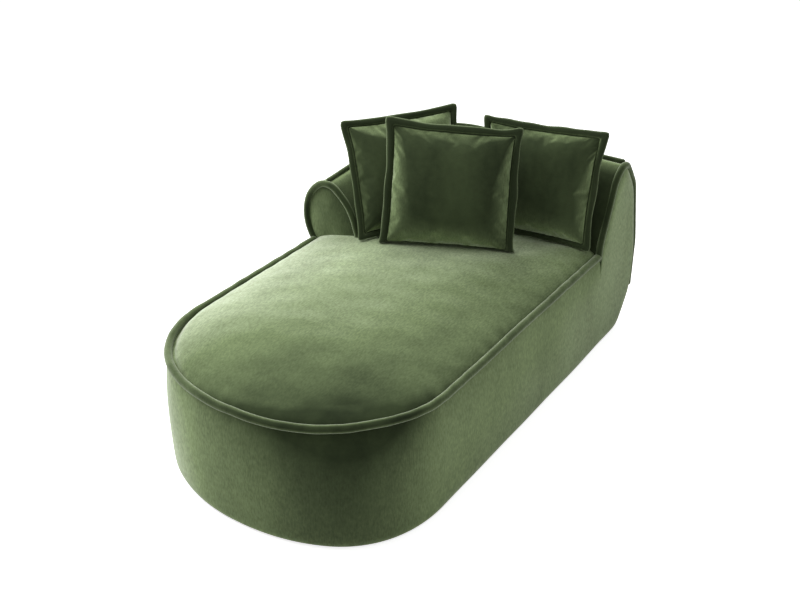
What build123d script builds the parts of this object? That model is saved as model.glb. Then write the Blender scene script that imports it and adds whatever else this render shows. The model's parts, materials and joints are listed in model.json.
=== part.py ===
"""Velvet chaise with a round nose, one wrapped arm, a flat open side and three loose cushions.

Millimetres, +Z up. The origin is on the floor under the middle of the chaise, +Y points to the back and +X to the
flat open side. Seen from the front, the arm is on the left.
"""

import os
from math import atan2, cos, hypot, radians, sin, sqrt, tan

from build123d import *

# Overall sizes
overall_length = 1720.0
overall_width = 958.5
seam_height = 400.0
hem_height = 6.0

# Plan of the base
nose_corner_radius = 372.0
nose_blend_angle = 62.0
rear_corner_radius = 373.0
heel_radius = 160.0
arm_length = 738.0
arm_overhang = 43.0

# Section of the back: depth from the outer face and height, with the rounding of each corner
back_foot_depth = 313.0
back_foot_top = 440.0
back_shoulder_depth = 225.0
back_shoulder_drop = 40.0
back_ridge_depth = 150.0
back_ridge_height = 706.0
back_outer_depth = 60.0
back_outer_drop = 112.0
back_waist_height = 345.0
back_radii = (200.0, 100.0, 50.0, 150.0, 300.0)

# Section of the arm at its front face
arm_foot_depth = 240.0
arm_foot_top = 446.0
arm_shoulder_depth = 208.0
arm_shoulder_drop = 93.0
arm_ridge_depth = 105.0
arm_ridge_height = 652.0
arm_outer_depth = 10.0
arm_outer_drop = 78.0
arm_waist_height = 450.0
arm_waist_radius = 60.0
arm_tuck = 70.0
arm_tuck_radius = 60.0
arm_radii = (150.0, 120.0, 70.0, 80.0, 300.0)

# Layers and fits
cover_thickness = 2.0
layer_gap = 0.4
border_foam_thickness = 20.0
panel_thickness = 6.0
back_foam_thickness = 38.0
face_foam_thickness = 15.0
rib_thickness = 18.0
rib_gap = 1.0
rib_count = 4
corner_rib_angle = 45.0
arm_rib_margin = 6.0
back_rail_drop = 60.0
arm_rail_drop = 46.5

# Base box
glide_height = 12.0
glide_radius = 22.0
glide_screw_radius = 2.5
glide_screw_length = 22.0
dust_thickness = 1.5
ring_thickness = 18.0
ring_width = 75.0
deck_height = 300.0
post_size = 45.0
side_post_rows = 4
rail_size = 45.0

# Suspension
webbing_width = 70.0
webbing_thickness = 2.0
webbing_pitch = 118.0
webbing_anchor = 38.0
webbing_columns = 4
webbing_lead = 177.0
cloth_thickness = 1.5

# Crowned seat: distance in from the seam, distance in from the back face, rise above the seam
seat_edge_inset = 13.0
seat_edge_rise = 5.0
seat_skirt = 12.0
seat_crown = (
    (0.0, 270.0, 0.0),
    (17.0, 340.0, 12.0),
    (57.0, 450.0, 25.0),
    (117.0, 570.0, 39.0),
    (197.0, 700.0, 51.0),
    (287.0, 850.0, 58.0),
)

# Piping
seat_pipe_radius = 12.5
end_pipe_radius = 12.0
end_pipe_sink = 6.0
ridge_pipe_radius = 8.0
ridge_pipe_lift = 6.0

# Screws that hold the ribs to the decks
rib_screw_radius = 3.0
rib_screw_head_radius = 6.0
rib_screw_head_height = 4.0
rib_screw_bite = 48.0
screw_clearance = 0.3

# Loose cushions
cushion_size = 430.0
cushion_thickness = 126.0
cushion_draw_in = 9.0
cushion_corner = 26.0
flange_width = 24.0
flange_thickness = 13.0
cushion_fill_inset = (150.0, 96.0, 52.0, 22.0, 6.0, 0.0)
cushion_fill_share = (1.0, 0.93, 0.74, 0.46, 0.2, 0.0)

# Places that follow from the sizes
side_x = overall_width / 2 - seat_pipe_radius
arm_lean = atan2(arm_outer_depth, arm_ridge_height - arm_outer_drop - arm_waist_height)
tuck_lean = atan2(arm_overhang, arm_tuck)
arm_bend = arm_lean + tuck_lean
waist_bend = arm_waist_radius - end_pipe_sink
waist_sink = end_pipe_sink * (cos(arm_lean) + cos(tuck_lean)) / (1 + cos(arm_bend))
waist_ease = waist_bend * (tan(arm_bend / 2) * sin(arm_lean) - 1 + cos(arm_lean))
arm_x = overall_width / 2 - end_pipe_radius + waist_sink + waist_ease
base_half = (side_x + arm_x - arm_overhang) / 2
base_x = side_x - base_half
nose_y = -overall_length / 2 + seat_pipe_radius
back_y = overall_length / 2 - end_pipe_radius + end_pipe_sink
blend = radians(nose_blend_angle)
nose_front_radius = nose_corner_radius + (base_half - nose_corner_radius) / cos(blend)
nose_depth = nose_front_radius - (nose_front_radius - nose_corner_radius) * sin(blend)
nose_start_y = nose_y + nose_depth
corner_x = -arm_x + rear_corner_radius
corner_y = back_y - rear_corner_radius
arm_front_y = back_y - arm_length

# Where each cushion stands: bottom centre with its height over the seam, turn of its face, lean and roll in degrees
cushion_places = {
    "middle": (base_x + 38.75, back_y - 654.0, 52.8, 28.0, 10.5, -2.0),
    "right": (side_x - 227.0, back_y - 382.0, 25.6, 11.0, 8.5, -2.2),
    "left": (-arm_x + 383.3, back_y - 610.0, 63.5, 55.0, 23.0, 1.2),
}

foam_inset = cover_thickness + layer_gap
panel_inset = foam_inset + border_foam_thickness + layer_gap
ring_inset = panel_inset + panel_thickness + layer_gap
rib_inset = foam_inset + back_foam_thickness + rib_gap
end_inset = end_pipe_sink + end_pipe_radius + layer_gap
heel_inset = heel_radius + cover_thickness
panel_rear = heel_inset + layer_gap
ring_rear = panel_rear + panel_thickness + layer_gap

dust_top = glide_height + dust_thickness
bottom_ring_top = dust_top + ring_thickness
deck_bottom = deck_height - ring_thickness
webbing_top = deck_height + 2 * webbing_thickness
cloth_bottom = webbing_top + layer_gap
foam_bottom = cloth_bottom + cloth_thickness + layer_gap
wall_top = seam_height - seat_pipe_radius - layer_gap
skirt_bottom = seam_height - seat_skirt
foam_top = skirt_bottom - layer_gap
rear_foam_top = deck_bottom - rib_screw_head_height - layer_gap

side_foam_x = side_x - foam_inset
side_rib_x = side_foam_x - border_foam_thickness - layer_gap
cover_end_x = side_x - end_pipe_radius - layer_gap
face_foam_y = arm_front_y + foam_inset
arm_foam_y = face_foam_y + face_foam_thickness + layer_gap
arm_cover_y = arm_front_y + end_pipe_radius + layer_gap

back_corners = (
    (back_foot_depth, back_foot_top),
    (back_shoulder_depth, back_ridge_height - back_shoulder_drop),
    (back_ridge_depth, back_ridge_height),
    (back_outer_depth, back_ridge_height - back_outer_drop),
    (0.0, back_waist_height),
)
arm_corners = (
    (arm_foot_depth, arm_foot_top),
    (arm_shoulder_depth, arm_ridge_height - arm_shoulder_drop),
    (arm_ridge_depth, arm_ridge_height),
    (arm_outer_depth, arm_ridge_height - arm_outer_drop),
    (0.0, arm_waist_height),
)
back_shape = (back_corners, back_radii)
arm_shape = (arm_corners, arm_radii)
far = overall_length


def save(builder, node):
    """Label the finished piece and write it as the node's STEP file."""
    builder.part.label = node
    export_step(builder.part, os.path.join("parts", node + ".step"))


def draw_plan(inset, rear_inset=None, mode=Mode.ADD):
    """Plan outline of the base, drawn in by inset, and by rear_inset along the back."""
    rear = inset if rear_inset is None else rear_inset
    right = base_x + base_half - inset
    left = base_x - base_half + inset
    rear_y = back_y - rear
    turn = max(rear_corner_radius - max(inset, rear), ring_width)
    cut = turn * (1 - cos(radians(45)))
    corner = nose_corner_radius - inset

    def nose_point(side, angle):
        across = base_half - nose_corner_radius + corner * cos(angle)
        return (base_x + side * across, nose_start_y - corner * sin(angle))

    with BuildLine() as outline:
        Line((right, rear_y), (right, nose_start_y))
        ThreePointArc((right, nose_start_y), nose_point(1, blend / 2), nose_point(1, blend))
        ThreePointArc(nose_point(1, blend), (base_x, nose_y + inset), nose_point(-1, blend))
        ThreePointArc(nose_point(-1, blend), nose_point(-1, blend / 2), (left, nose_start_y))
        Line((left, nose_start_y), (left, rear_y - turn))
        ThreePointArc((left, rear_y - turn), (left + cut, rear_y - cut), (left + turn, rear_y))
        Line((left + turn, rear_y), (right, rear_y))
    make_face(outline.edges(), mode=mode)


def plan_slab(inset, bottom, top, rear_inset=None):
    """Upright slab on the plan outline between two heights."""
    with BuildPart() as slab:
        with BuildSketch(Plane.XY.offset(bottom)):
            draw_plan(inset, rear_inset)
        extrude(amount=top - bottom)
    return slab.part


def keep_y(limit, keep):
    """Keep what lies behind (Keep.TOP) or in front (Keep.BOTTOM) of the upright plane at y = limit."""
    split(bisect_by=Plane(origin=(0, limit, 0), z_dir=(0, 1, 0)), keep=keep)


def keep_x(limit, keep):
    """Keep what lies right (Keep.TOP) or left (Keep.BOTTOM) of the upright plane at x = limit."""
    split(bisect_by=Plane(origin=(limit, 0, 0), z_dir=(1, 0, 0)), keep=keep)


def keep_above(limit):
    """Keep what lies above the level plane at z = limit."""
    split(bisect_by=Plane.XY.offset(limit), keep=Keep.TOP)


def inset_section(shape, base, inset):
    """Corner points and radii of a back or arm section whose outline is moved inward by inset."""
    corners, radii = shape
    points = [(corners[0][0], base), *corners, (0.0, base)]
    sides = []
    for start, end in zip(points, points[1:]):
        run = (end[0] - start[0], end[1] - start[1])
        length = hypot(*run)
        moved = (start[0] - run[1] / length * inset, start[1] + run[0] / length * inset)
        sides.append((moved, run))
    inner = [(points[0][0] - inset, base)]
    for (p, d), (q, e) in zip(sides, sides[1:]):
        along = ((q[0] - p[0]) * e[1] - (q[1] - p[1]) * e[0]) / (d[0] * e[1] - d[1] * e[0])
        inner.append((p[0] + d[0] * along, p[1] + d[1] * along))
    inner.append((inset, base))
    return inner, [max(radius - inset, layer_gap) for radius in radii]


def draw_section(shape, base, inset, mode=Mode.ADD):
    """Closed section of the back or the arm: depth from the outer face to the right, height upward."""
    points, radii = inset_section(shape, base, inset)
    with BuildLine() as outline:
        FilletPolyline(points, radius=radii)
        Line(points[-1], points[0])
    make_face(outline.edges(), mode=mode)


def draw_heel(inset, mode=Mode.ADD):
    """What the rounded heel takes off the lower back edge, in the section's own depth and height."""
    middle = heel_radius - (heel_radius - inset) * cos(radians(45))
    out = -heel_radius
    with BuildLine() as outline:
        ThreePointArc((inset, heel_radius), (middle, middle), (heel_radius, inset))
        Polyline((heel_radius, inset), (heel_radius, out), (out, out), (out, heel_radius), (inset, heel_radius))
    make_face(outline.edges(), mode=mode)


def back_plane(x):
    """Section plane across the straight back: depth runs forward from the outer face."""
    return Plane(origin=(x, back_y, 0), x_dir=(0, -1, 0), z_dir=(-1, 0, 0))


def arm_plane(y):
    """Section plane across the arm: depth runs to the right from the outer face."""
    return Plane(origin=(-arm_x, y, 0), x_dir=(1, 0, 0), z_dir=(0, -1, 0))


def corner_plane(angle):
    """Section plane through the corner's upright axis, turned from the back towards the arm."""
    out = (-sin(radians(angle)), cos(radians(angle)), 0)
    foot = (corner_x + rear_corner_radius * out[0], corner_y + rear_corner_radius * out[1], 0)
    return Plane(origin=foot, x_dir=(-out[0], -out[1], 0), z_dir=(-out[1], out[0], 0))


def back_block(inset, base, end_x):
    """Solid straight back from the corner to end_x."""
    with BuildPart() as block:
        with BuildSketch(back_plane(end_x)):
            draw_section(back_shape, base, inset)
        extrude(amount=end_x - corner_x)
    return block.part


def corner_block(inset, base):
    """Solid quarter turn of the back section at the rear left corner."""
    with BuildPart() as block:
        with BuildSketch(back_plane(corner_x)):
            draw_section(back_shape, base, inset)
        revolve(axis=Axis((corner_x, corner_y, 0), (0, 0, 1)), revolution_arc=90)
    return block.part


def tuck_line(inset):
    """Line down which the arm draws in to the base, moved inward by inset: its top, its foot, as depth and height."""
    length = hypot(arm_overhang, arm_tuck)
    lean = (arm_tuck / length, arm_overhang / length)
    top = (inset * lean[0], arm_waist_height + inset * lean[1])
    share = 1 + inset * (1 - lean[0]) / arm_overhang
    return top, (top[0] + share * arm_overhang, top[1] - share * arm_tuck)


def draw_arm_edge(inset, base):
    """Edge of the arm's face, from its inner foot over the ridge and down its tuck to base, moved inward by inset."""
    points, radii = inset_section(arm_shape, base, inset)
    top, foot = tuck_line(inset)
    p, q = points[-3], points[-2]
    leg = (q[0] - p[0], q[1] - p[1])
    fall = (foot[0] - top[0], foot[1] - top[1])
    along = ((top[0] - p[0]) * fall[1] - (top[1] - p[1]) * fall[0]) / (leg[0] * fall[1] - leg[1] * fall[0])
    end = top[0] + fall[0] * (base - top[1]) / fall[1]
    points[-2:] = [(p[0] + leg[0] * along, p[1] + leg[1] * along), (end, base)]
    radii[-1] = arm_waist_radius - inset
    FilletPolyline(points, radius=radii)
    return points


def tuck_bar(inset):
    """Bar along the outer foot of the arm that leaves the arm standing out past the base, fading out at the corner."""
    top, foot = tuck_line(inset)
    high = (2 * top[0] - foot[0], 2 * top[1] - foot[1])
    out = -rear_corner_radius
    run = Vector(-arm_overhang - cover_thickness, corner_y - arm_front_y, 0)
    with BuildPart() as bar:
        with BuildSketch(arm_plane(arm_front_y)) as profile:
            with BuildLine() as outline:
                FilletPolyline(high, foot, (foot[0], out), radius=arm_tuck_radius + inset)
                Polyline((foot[0], out), (out, out), (out, high[1]), high)
            make_face(outline.edges())
        extrude(profile.sketch, amount=run.length, dir=run)
        extrude(profile.sketch, amount=heel_radius, dir=-run)
    return bar.part


def arm_block(inset, base, front_y):
    """Solid arm that thins from the back section to the arm section, drawn in at its foot and cut off at front_y."""
    with BuildPart() as block:
        with BuildSketch(arm_plane(corner_y)):
            draw_section(back_shape, base, inset)
        with BuildSketch(arm_plane(arm_front_y)):
            draw_section(arm_shape, base, inset)
        loft()
        add(tuck_bar(inset), mode=Mode.SUBTRACT)
        keep_y(front_y, Keep.TOP)
    return block.part


def heel_bar(inset):
    """Bar along the lower back edge that leaves the rounded heel behind."""
    with BuildPart() as bar:
        with BuildSketch(back_plane(far)):
            draw_heel(inset)
        extrude(amount=2 * far)
    return bar.part


def ridge_point(shape, inset):
    """Middle of the rounded ridge of a section, as depth and height."""
    points, radii = inset_section(shape, deck_height, inset)
    before, ridge, after = points[2], points[3], points[4]
    arrive = (ridge[0] - before[0], ridge[1] - before[1])
    leave = (after[0] - ridge[0], after[1] - ridge[1])
    arrive = (arrive[0] / hypot(*arrive), arrive[1] / hypot(*arrive))
    leave = (leave[0] / hypot(*leave), leave[1] / hypot(*leave))
    inward = (leave[0] - arrive[0], leave[1] - arrive[1])
    half_turn = sqrt((1 + arrive[0] * leave[0] + arrive[1] * leave[1]) / 2)
    drop = radii[2] * (1 / half_turn - 1)
    return (ridge[0] + inward[0] / hypot(*inward) * drop, ridge[1] + inward[1] / hypot(*inward) * drop)


def ridge_fence(offset):
    """Block over the outer side of the ridge, its inner face moved by offset from the ridge line."""
    back_depth = ridge_point(back_shape, 0)[0] + offset
    arm_depth = ridge_point(arm_shape, 0)[0] + offset
    with BuildPart() as fence:
        with BuildSketch(back_plane(side_x)):
            with Locations((back_depth, 0)):
                Rectangle(2 * rear_corner_radius, 2 * far, align=(Align.MAX, Align.CENTER))
        extrude(amount=side_x - corner_x)
        with BuildSketch(Plane.XY.offset(-far)):
            with Locations((corner_x, corner_y)):
                Circle(2 * rear_corner_radius)
                Circle(rear_corner_radius - back_depth, mode=Mode.SUBTRACT)
                Rectangle(far, far, align=(Align.MIN, Align.CENTER), mode=Mode.SUBTRACT)
                Rectangle(far, far, align=(Align.CENTER, Align.MAX), mode=Mode.SUBTRACT)
        extrude(amount=2 * far)
        with BuildSketch(Plane.XY.offset(-far)):
            with BuildLine():
                Polyline(
                    (-arm_x + back_depth, corner_y),
                    (-arm_x + arm_depth, arm_front_y),
                    (-arm_x - rear_corner_radius, arm_front_y),
                    (-arm_x - rear_corner_radius, corner_y),
                    close=True,
                )
            make_face()
        extrude(amount=2 * far)
    return fence.part


def seat_dome(inset):
    """Crowned seat solid, moved inward by inset on every side and on top."""
    edge = seat_edge_inset + inset
    lift = seam_height + seat_edge_rise - inset
    with BuildPart() as dome:
        with BuildSketch(Plane.XY.offset(skirt_bottom)):
            draw_plan(edge, seat_crown[0][1])
        extrude(amount=lift - skirt_bottom)
        for side, rear, rise in seat_crown:
            with BuildSketch(Plane.XY.offset(lift + rise)):
                draw_plan(edge + side, rear)
        loft(ruled=True)
    return dome.part


def clear_of_back(gap):
    """Take the back, the corner, the arm and the arm's piped front out of the piece in hand."""
    add(back_block(-gap, deck_height, far), mode=Mode.SUBTRACT)
    add(corner_block(-gap, deck_height), mode=Mode.SUBTRACT)
    add(arm_block(-gap, deck_height, arm_front_y), mode=Mode.SUBTRACT)
    pipe_out = end_pipe_radius - end_pipe_sink
    with BuildSketch(arm_plane(arm_front_y)) as face:
        draw_section(arm_shape, skirt_bottom - layer_gap, -pipe_out - gap)
    extrude(face.sketch, amount=end_pipe_radius + gap, both=True, mode=Mode.SUBTRACT)
    with BuildSketch(Plane.XY.offset(deck_height)) as outside:
        with Locations((-arm_x, arm_front_y)):
            Rectangle(arm_foot_depth / 2, far, align=Align.MIN)
    extrude(outside.sketch, amount=back_ridge_height, mode=Mode.SUBTRACT)


os.makedirs("parts", exist_ok=True)

# Base box: posts, rings and the places of the glides
post_half = base_half - ring_inset - ring_width / 2
post_step = (corner_y - nose_start_y) / side_post_rows
nose_reach = nose_corner_radius - ring_inset - ring_width / 2
nose_turn = radians(45)
rear_post_y = back_y - ring_rear - ring_width / 2
nose_post_half = base_half - nose_corner_radius + nose_reach * cos(nose_turn)
nose_post_y = nose_start_y - nose_reach * sin(nose_turn)
side_rows = [nose_start_y + post_step * (row + 0.5) for row in range(side_post_rows)]
post_places = [(base_x + side * post_half, y) for y in side_rows for side in (-1, 1)]
post_places += [(base_x + side * nose_post_half, nose_post_y) for side in (-1, 1)]
post_places += [(base_x, nose_y + ring_inset + ring_width / 2)]
post_places += [(x, rear_post_y) for x in (corner_x, base_x + post_half / 3, base_x + post_half)]

with BuildPart() as base_posts:
    with BuildSketch(Plane.XY.offset(bottom_ring_top)):
        with Locations(*post_places):
            Rectangle(post_size, post_size)
    extrude(amount=deck_bottom - bottom_ring_top)
save(base_posts, "base_posts")

with BuildPart() as bottom_ring:
    with BuildSketch(Plane.XY.offset(dust_top)):
        draw_plan(ring_inset, ring_rear)
        draw_plan(ring_inset + ring_width, ring_rear + ring_width, mode=Mode.SUBTRACT)
    extrude(amount=ring_thickness)
    with BuildSketch(Plane.XY.offset(dust_top)):
        with Locations(*post_places):
            Circle(glide_screw_radius + screw_clearance)
    extrude(amount=ring_thickness, mode=Mode.SUBTRACT)
save(bottom_ring, "bottom_ring")

with BuildPart() as dust_cover:
    with BuildSketch(Plane.XY.offset(glide_height)):
        draw_plan(panel_inset, panel_rear)
        with Locations(*post_places):
            Circle(glide_screw_radius + screw_clearance, mode=Mode.SUBTRACT)
    extrude(amount=dust_thickness)
save(dust_cover, "dust_cover")

with BuildPart() as floor_glides:
    with BuildSketch():
        with Locations(*post_places):
            Circle(glide_radius)
    extrude(amount=glide_height)
    chamfer(floor_glides.faces().sort_by(Axis.Z)[: len(post_places)].edges(), length=glide_height / 6)
    with BuildSketch():
        with Locations(*post_places):
            Circle(2 * glide_screw_radius + screw_clearance)
    extrude(amount=glide_height / 2, mode=Mode.SUBTRACT)
    with BuildSketch():
        with Locations(*post_places):
            Circle(glide_screw_radius + screw_clearance)
    extrude(amount=glide_height, mode=Mode.SUBTRACT)
save(floor_glides, "floor_glides")

with BuildPart() as glide_screws:
    with BuildSketch(Plane.XY.offset(glide_height / 6)):
        with Locations(*post_places):
            Circle(2 * glide_screw_radius)
    extrude(amount=glide_height / 3)
    with BuildSketch(Plane.XY.offset(glide_height / 2)):
        with Locations(*post_places):
            Circle(glide_screw_radius)
    extrude(amount=glide_screw_length)
save(glide_screws, "glide_screws")

with BuildPart() as cross_rails:
    with BuildSketch(Plane.XY.offset(deck_bottom - rail_size)):
        with Locations(*[(base_x, y + post_step / 2) for y in side_rows[:-1]]):
            Rectangle(2 * (base_half - ring_inset), rail_size)
    extrude(amount=rail_size)
save(cross_rails, "cross_rails")


def panel_wall():
    """Closed wall of boards round the base box, before it is cut into panels."""
    with BuildPart() as wall:
        add(plan_slab(panel_inset, dust_top, deck_bottom, panel_rear))
        inner = panel_inset + panel_thickness
        add(plan_slab(inner, dust_top, deck_bottom, panel_rear + panel_thickness), mode=Mode.SUBTRACT)
    return wall.part


with BuildPart() as nose_panel:
    add(panel_wall())
    keep_y(nose_start_y, Keep.BOTTOM)
save(nose_panel, "nose_panel")

with BuildPart() as left_panel:
    add(panel_wall())
    keep_y(nose_start_y, Keep.TOP)
    keep_y(corner_y, Keep.BOTTOM)
    keep_x(0, Keep.BOTTOM)
save(left_panel, "left_panel")

with BuildPart() as right_panel:
    add(panel_wall())
    keep_y(nose_start_y, Keep.TOP)
    keep_x(side_x - panel_inset - panel_thickness, Keep.TOP)
save(right_panel, "right_panel")

with BuildPart() as rear_panel:
    add(panel_wall())
    keep_y(corner_y, Keep.TOP)
    keep_x(side_x - panel_inset - panel_thickness, Keep.BOTTOM)
save(rear_panel, "rear_panel")

# Decks that carry the springing, the arm and the back
opening_inset = panel_inset + ring_width
arm_deck_x = -arm_x + back_foot_depth + webbing_anchor + layer_gap
rear_deck_y = back_y - back_foot_depth - webbing_anchor - layer_gap
rib_step = (side_rib_x - rib_thickness - corner_x) / (rib_count - 1)
rib_places = [side_rib_x - rib_step * rib for rib in range(rib_count)]
front_screw_depth = back_foot_depth - rib_inset - ring_width / 3
rear_screw_depth = rib_inset + ring_width / 3
screw_places = [
    (x - rib_thickness / 2, back_y - depth) for x in rib_places[1:] for depth in (front_screw_depth, rear_screw_depth)
]


def screw_holes(radius, bottom, height):
    """Take the rib screws' holes out of the piece in hand."""
    with BuildSketch(Plane.XY.offset(bottom)) as holes:
        with Locations(*screw_places):
            Circle(radius)
    extrude(holes.sketch, amount=height, mode=Mode.SUBTRACT)


with BuildPart() as deck_ring:
    with BuildSketch(Plane.XY.offset(deck_bottom)):
        draw_plan(panel_inset)
        draw_plan(opening_inset, mode=Mode.SUBTRACT)
    extrude(amount=ring_thickness)
    screw_holes(rib_screw_radius + screw_clearance, deck_bottom, ring_thickness)
save(deck_ring, "deck_ring")

with BuildPart() as rear_deck:
    add(plan_slab(opening_inset + layer_gap, deck_bottom, deck_height))
    keep_y(rear_deck_y, Keep.TOP)
    screw_holes(rib_screw_radius + screw_clearance, deck_bottom, ring_thickness)
save(rear_deck, "rear_deck")

with BuildPart() as arm_deck:
    add(plan_slab(opening_inset + layer_gap, deck_bottom, deck_height))
    keep_y(rear_deck_y - layer_gap, Keep.BOTTOM)
    keep_y(arm_front_y, Keep.TOP)
    keep_x(arm_deck_x, Keep.BOTTOM)
save(arm_deck, "arm_deck")

# Springing: straps across, straps along, and the cloth over them
webbing_first = nose_start_y - webbing_lead
opening_reach = nose_corner_radius - opening_inset


def opening_half(y):
    """Half width of the deck ring's opening at y, in the nose and behind it."""
    into_nose = max(nose_start_y - y, 0)
    return base_half - nose_corner_radius + sqrt(opening_reach**2 - into_nose**2)


def opening_front(x):
    """Where the deck ring's opening begins at x from its middle, on the nose's front arc."""
    return nose_y + nose_front_radius - sqrt((nose_front_radius - opening_inset) ** 2 - x**2)


row_count = int((rear_deck_y - webbing_width / 2 - webbing_first) / webbing_pitch) + 1
strap_rows = [webbing_first + webbing_pitch * row for row in range(row_count)]
with BuildPart() as webbing_across:
    for y in strap_rows:
        reach = opening_half(y - webbing_width / 2) + webbing_anchor
        right_end = base_x + reach
        left_end = base_x - reach if y + webbing_width / 2 < arm_front_y else arm_deck_x - webbing_anchor
        with BuildSketch(Plane.XY.offset(deck_height)):
            with Locations(((left_end + right_end) / 2, y)):
                Rectangle(right_end - left_end, webbing_width)
        extrude(amount=webbing_thickness)
save(webbing_across, "webbing_across")

strap_columns = [arm_deck_x + webbing_pitch * (column + 0.5) for column in range(webbing_columns)]
with BuildPart() as webbing_along:
    for x in strap_columns:
        front_end = opening_front(abs(x - base_x) + webbing_width / 2) - webbing_anchor
        rear_end = rear_deck_y + webbing_anchor
        with BuildSketch(Plane.XY.offset(deck_height + webbing_thickness)):
            with Locations((x, (front_end + rear_end) / 2)):
                Rectangle(webbing_width, rear_end - front_end)
        extrude(amount=webbing_thickness)
save(webbing_along, "webbing_along")

with BuildPart() as platform_cloth:
    add(plan_slab(panel_inset, cloth_bottom, cloth_bottom + cloth_thickness))
    clear_of_back(layer_gap)
save(platform_cloth, "platform_cloth")

# Seat: foam core, crowned topper, velvet and the piping round it
with BuildPart() as seat_foam:
    add(plan_slab(panel_inset, foam_bottom, foam_top))
    clear_of_back(layer_gap)
save(seat_foam, "seat_foam")

with BuildPart() as seat_topper:
    add(seat_dome(cover_thickness + layer_gap))
    clear_of_back(layer_gap)
save(seat_topper, "seat_topper")

with BuildPart() as seat_cover:
    add(seat_dome(0))
    add(seat_dome(cover_thickness), mode=Mode.SUBTRACT)
    clear_of_back(layer_gap)
save(seat_cover, "seat_cover")

seat_pipe_left_end = arm_front_y - end_pipe_radius - layer_gap
seat_pipe_right_end = back_y - back_foot_depth + end_pipe_sink - end_pipe_radius - layer_gap
across = base_half - nose_corner_radius + nose_corner_radius * cos(blend)
half_across = base_half - nose_corner_radius + nose_corner_radius * cos(blend / 2)
left_x = base_x - base_half
nose_blend_y = nose_start_y - nose_corner_radius * sin(blend)
nose_half_y = nose_start_y - nose_corner_radius * sin(blend / 2)
with BuildPart() as seat_piping:
    with BuildLine(Plane.XY.offset(seam_height)) as seat_seam:
        Line((side_x, seat_pipe_right_end), (side_x, nose_start_y))
        ThreePointArc((side_x, nose_start_y), (base_x + half_across, nose_half_y), (base_x + across, nose_blend_y))
        ThreePointArc((base_x + across, nose_blend_y), (base_x, nose_y), (base_x - across, nose_blend_y))
        ThreePointArc((base_x - across, nose_blend_y), (base_x - half_across, nose_half_y), (left_x, nose_start_y))
        Line((left_x, nose_start_y), (left_x, seat_pipe_left_end))
    with BuildSketch(Plane(origin=seat_seam.line @ 0, z_dir=seat_seam.line % 0)):
        Circle(seat_pipe_radius)
    sweep()
save(seat_piping, "seat_piping")

# Border: foam and velvet round the nose and the left side
with BuildPart() as border_foam:
    add(plan_slab(foam_inset, hem_height, wall_top))
    add(plan_slab(panel_inset - layer_gap, hem_height, wall_top), mode=Mode.SUBTRACT)
    keep_y(arm_cover_y - layer_gap, Keep.BOTTOM)
    with BuildSketch(Plane.XY.offset(hem_height)):
        with Locations((0, nose_start_y - layer_gap)):
            Rectangle(far, far, align=Align.MIN)
    extrude(amount=wall_top, mode=Mode.SUBTRACT)
save(border_foam, "border_foam")

with BuildPart() as border_cover:
    add(plan_slab(0, hem_height, wall_top))
    add(plan_slab(cover_thickness, hem_height, wall_top), mode=Mode.SUBTRACT)
    keep_y(arm_cover_y - layer_gap, Keep.BOTTOM)
    with BuildSketch(Plane.XY.offset(hem_height)):
        with Locations((0, nose_start_y - layer_gap)):
            Rectangle(far, far, align=Align.MIN)
    extrude(amount=wall_top, mode=Mode.SUBTRACT)
save(border_cover, "border_cover")

with BuildPart() as rear_border_foam:
    add(arm_block(foam_inset, hem_height, arm_cover_y))
    add(corner_block(foam_inset, hem_height))
    add(back_block(foam_inset, hem_height, side_rib_x))
    split(bisect_by=Plane.XY.offset(rear_foam_top), keep=Keep.BOTTOM)
    add(plan_slab(panel_inset - layer_gap, hem_height, rear_foam_top, heel_inset), mode=Mode.SUBTRACT)
    add(heel_bar(foam_inset), mode=Mode.SUBTRACT)
save(rear_border_foam, "rear_border_foam")


def draw_side():
    """Flat side with its upright end, in depth from the back face and height."""
    length = back_y - nose_start_y
    with Locations((end_inset, hem_height)):
        Rectangle(length - end_inset, deck_height - hem_height, align=Align.MIN)
    with Locations((back_ridge_depth, hem_height)):
        Rectangle(length - back_ridge_depth, wall_top - hem_height, align=Align.MIN)
    draw_section(back_shape, deck_height, end_inset)
    draw_heel(end_inset, mode=Mode.SUBTRACT)


with BuildPart() as side_foam:
    with BuildSketch(back_plane(side_foam_x)):
        draw_side()
    extrude(amount=border_foam_thickness)
save(side_foam, "side_foam")

with BuildPart() as side_panel:
    with BuildSketch(back_plane(side_x)):
        draw_side()
    extrude(amount=cover_thickness)
save(side_panel, "side_panel")

# Ribs and rails of the back and the arm
with BuildPart() as back_ribs:
    for x in rib_places[1:]:
        with BuildSketch(back_plane(x)):
            draw_section(back_shape, deck_height, rib_inset)
        extrude(amount=rib_thickness)
    screw_holes(rib_screw_radius + screw_clearance, deck_height, rib_screw_bite + layer_gap)
save(back_ribs, "back_ribs")

with BuildPart() as right_end_rib:
    with BuildSketch(back_plane(rib_places[0])):
        draw_section(back_shape, deck_height, rib_inset)
    extrude(amount=rib_thickness)
save(right_end_rib, "right_end_rib")

with BuildPart() as corner_ribs:
    with BuildSketch(corner_plane(corner_rib_angle)):
        draw_section(back_shape, deck_height, rib_inset)
    extrude(amount=rib_thickness / 2, both=True)
    with BuildSketch(arm_plane(corner_y + rib_thickness)):
        draw_section(back_shape, deck_height, rib_inset)
    extrude(amount=rib_thickness)
save(corner_ribs, "corner_ribs")

with BuildPart() as arm_front_rib:
    with BuildSketch(arm_plane(arm_foam_y + rib_thickness)):
        draw_section(arm_shape, deck_height, rib_inset + arm_rib_margin)
    extrude(amount=rib_thickness)
    add(tuck_bar(rib_inset + arm_rib_margin), mode=Mode.SUBTRACT)
save(arm_front_rib, "arm_front_rib")

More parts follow.
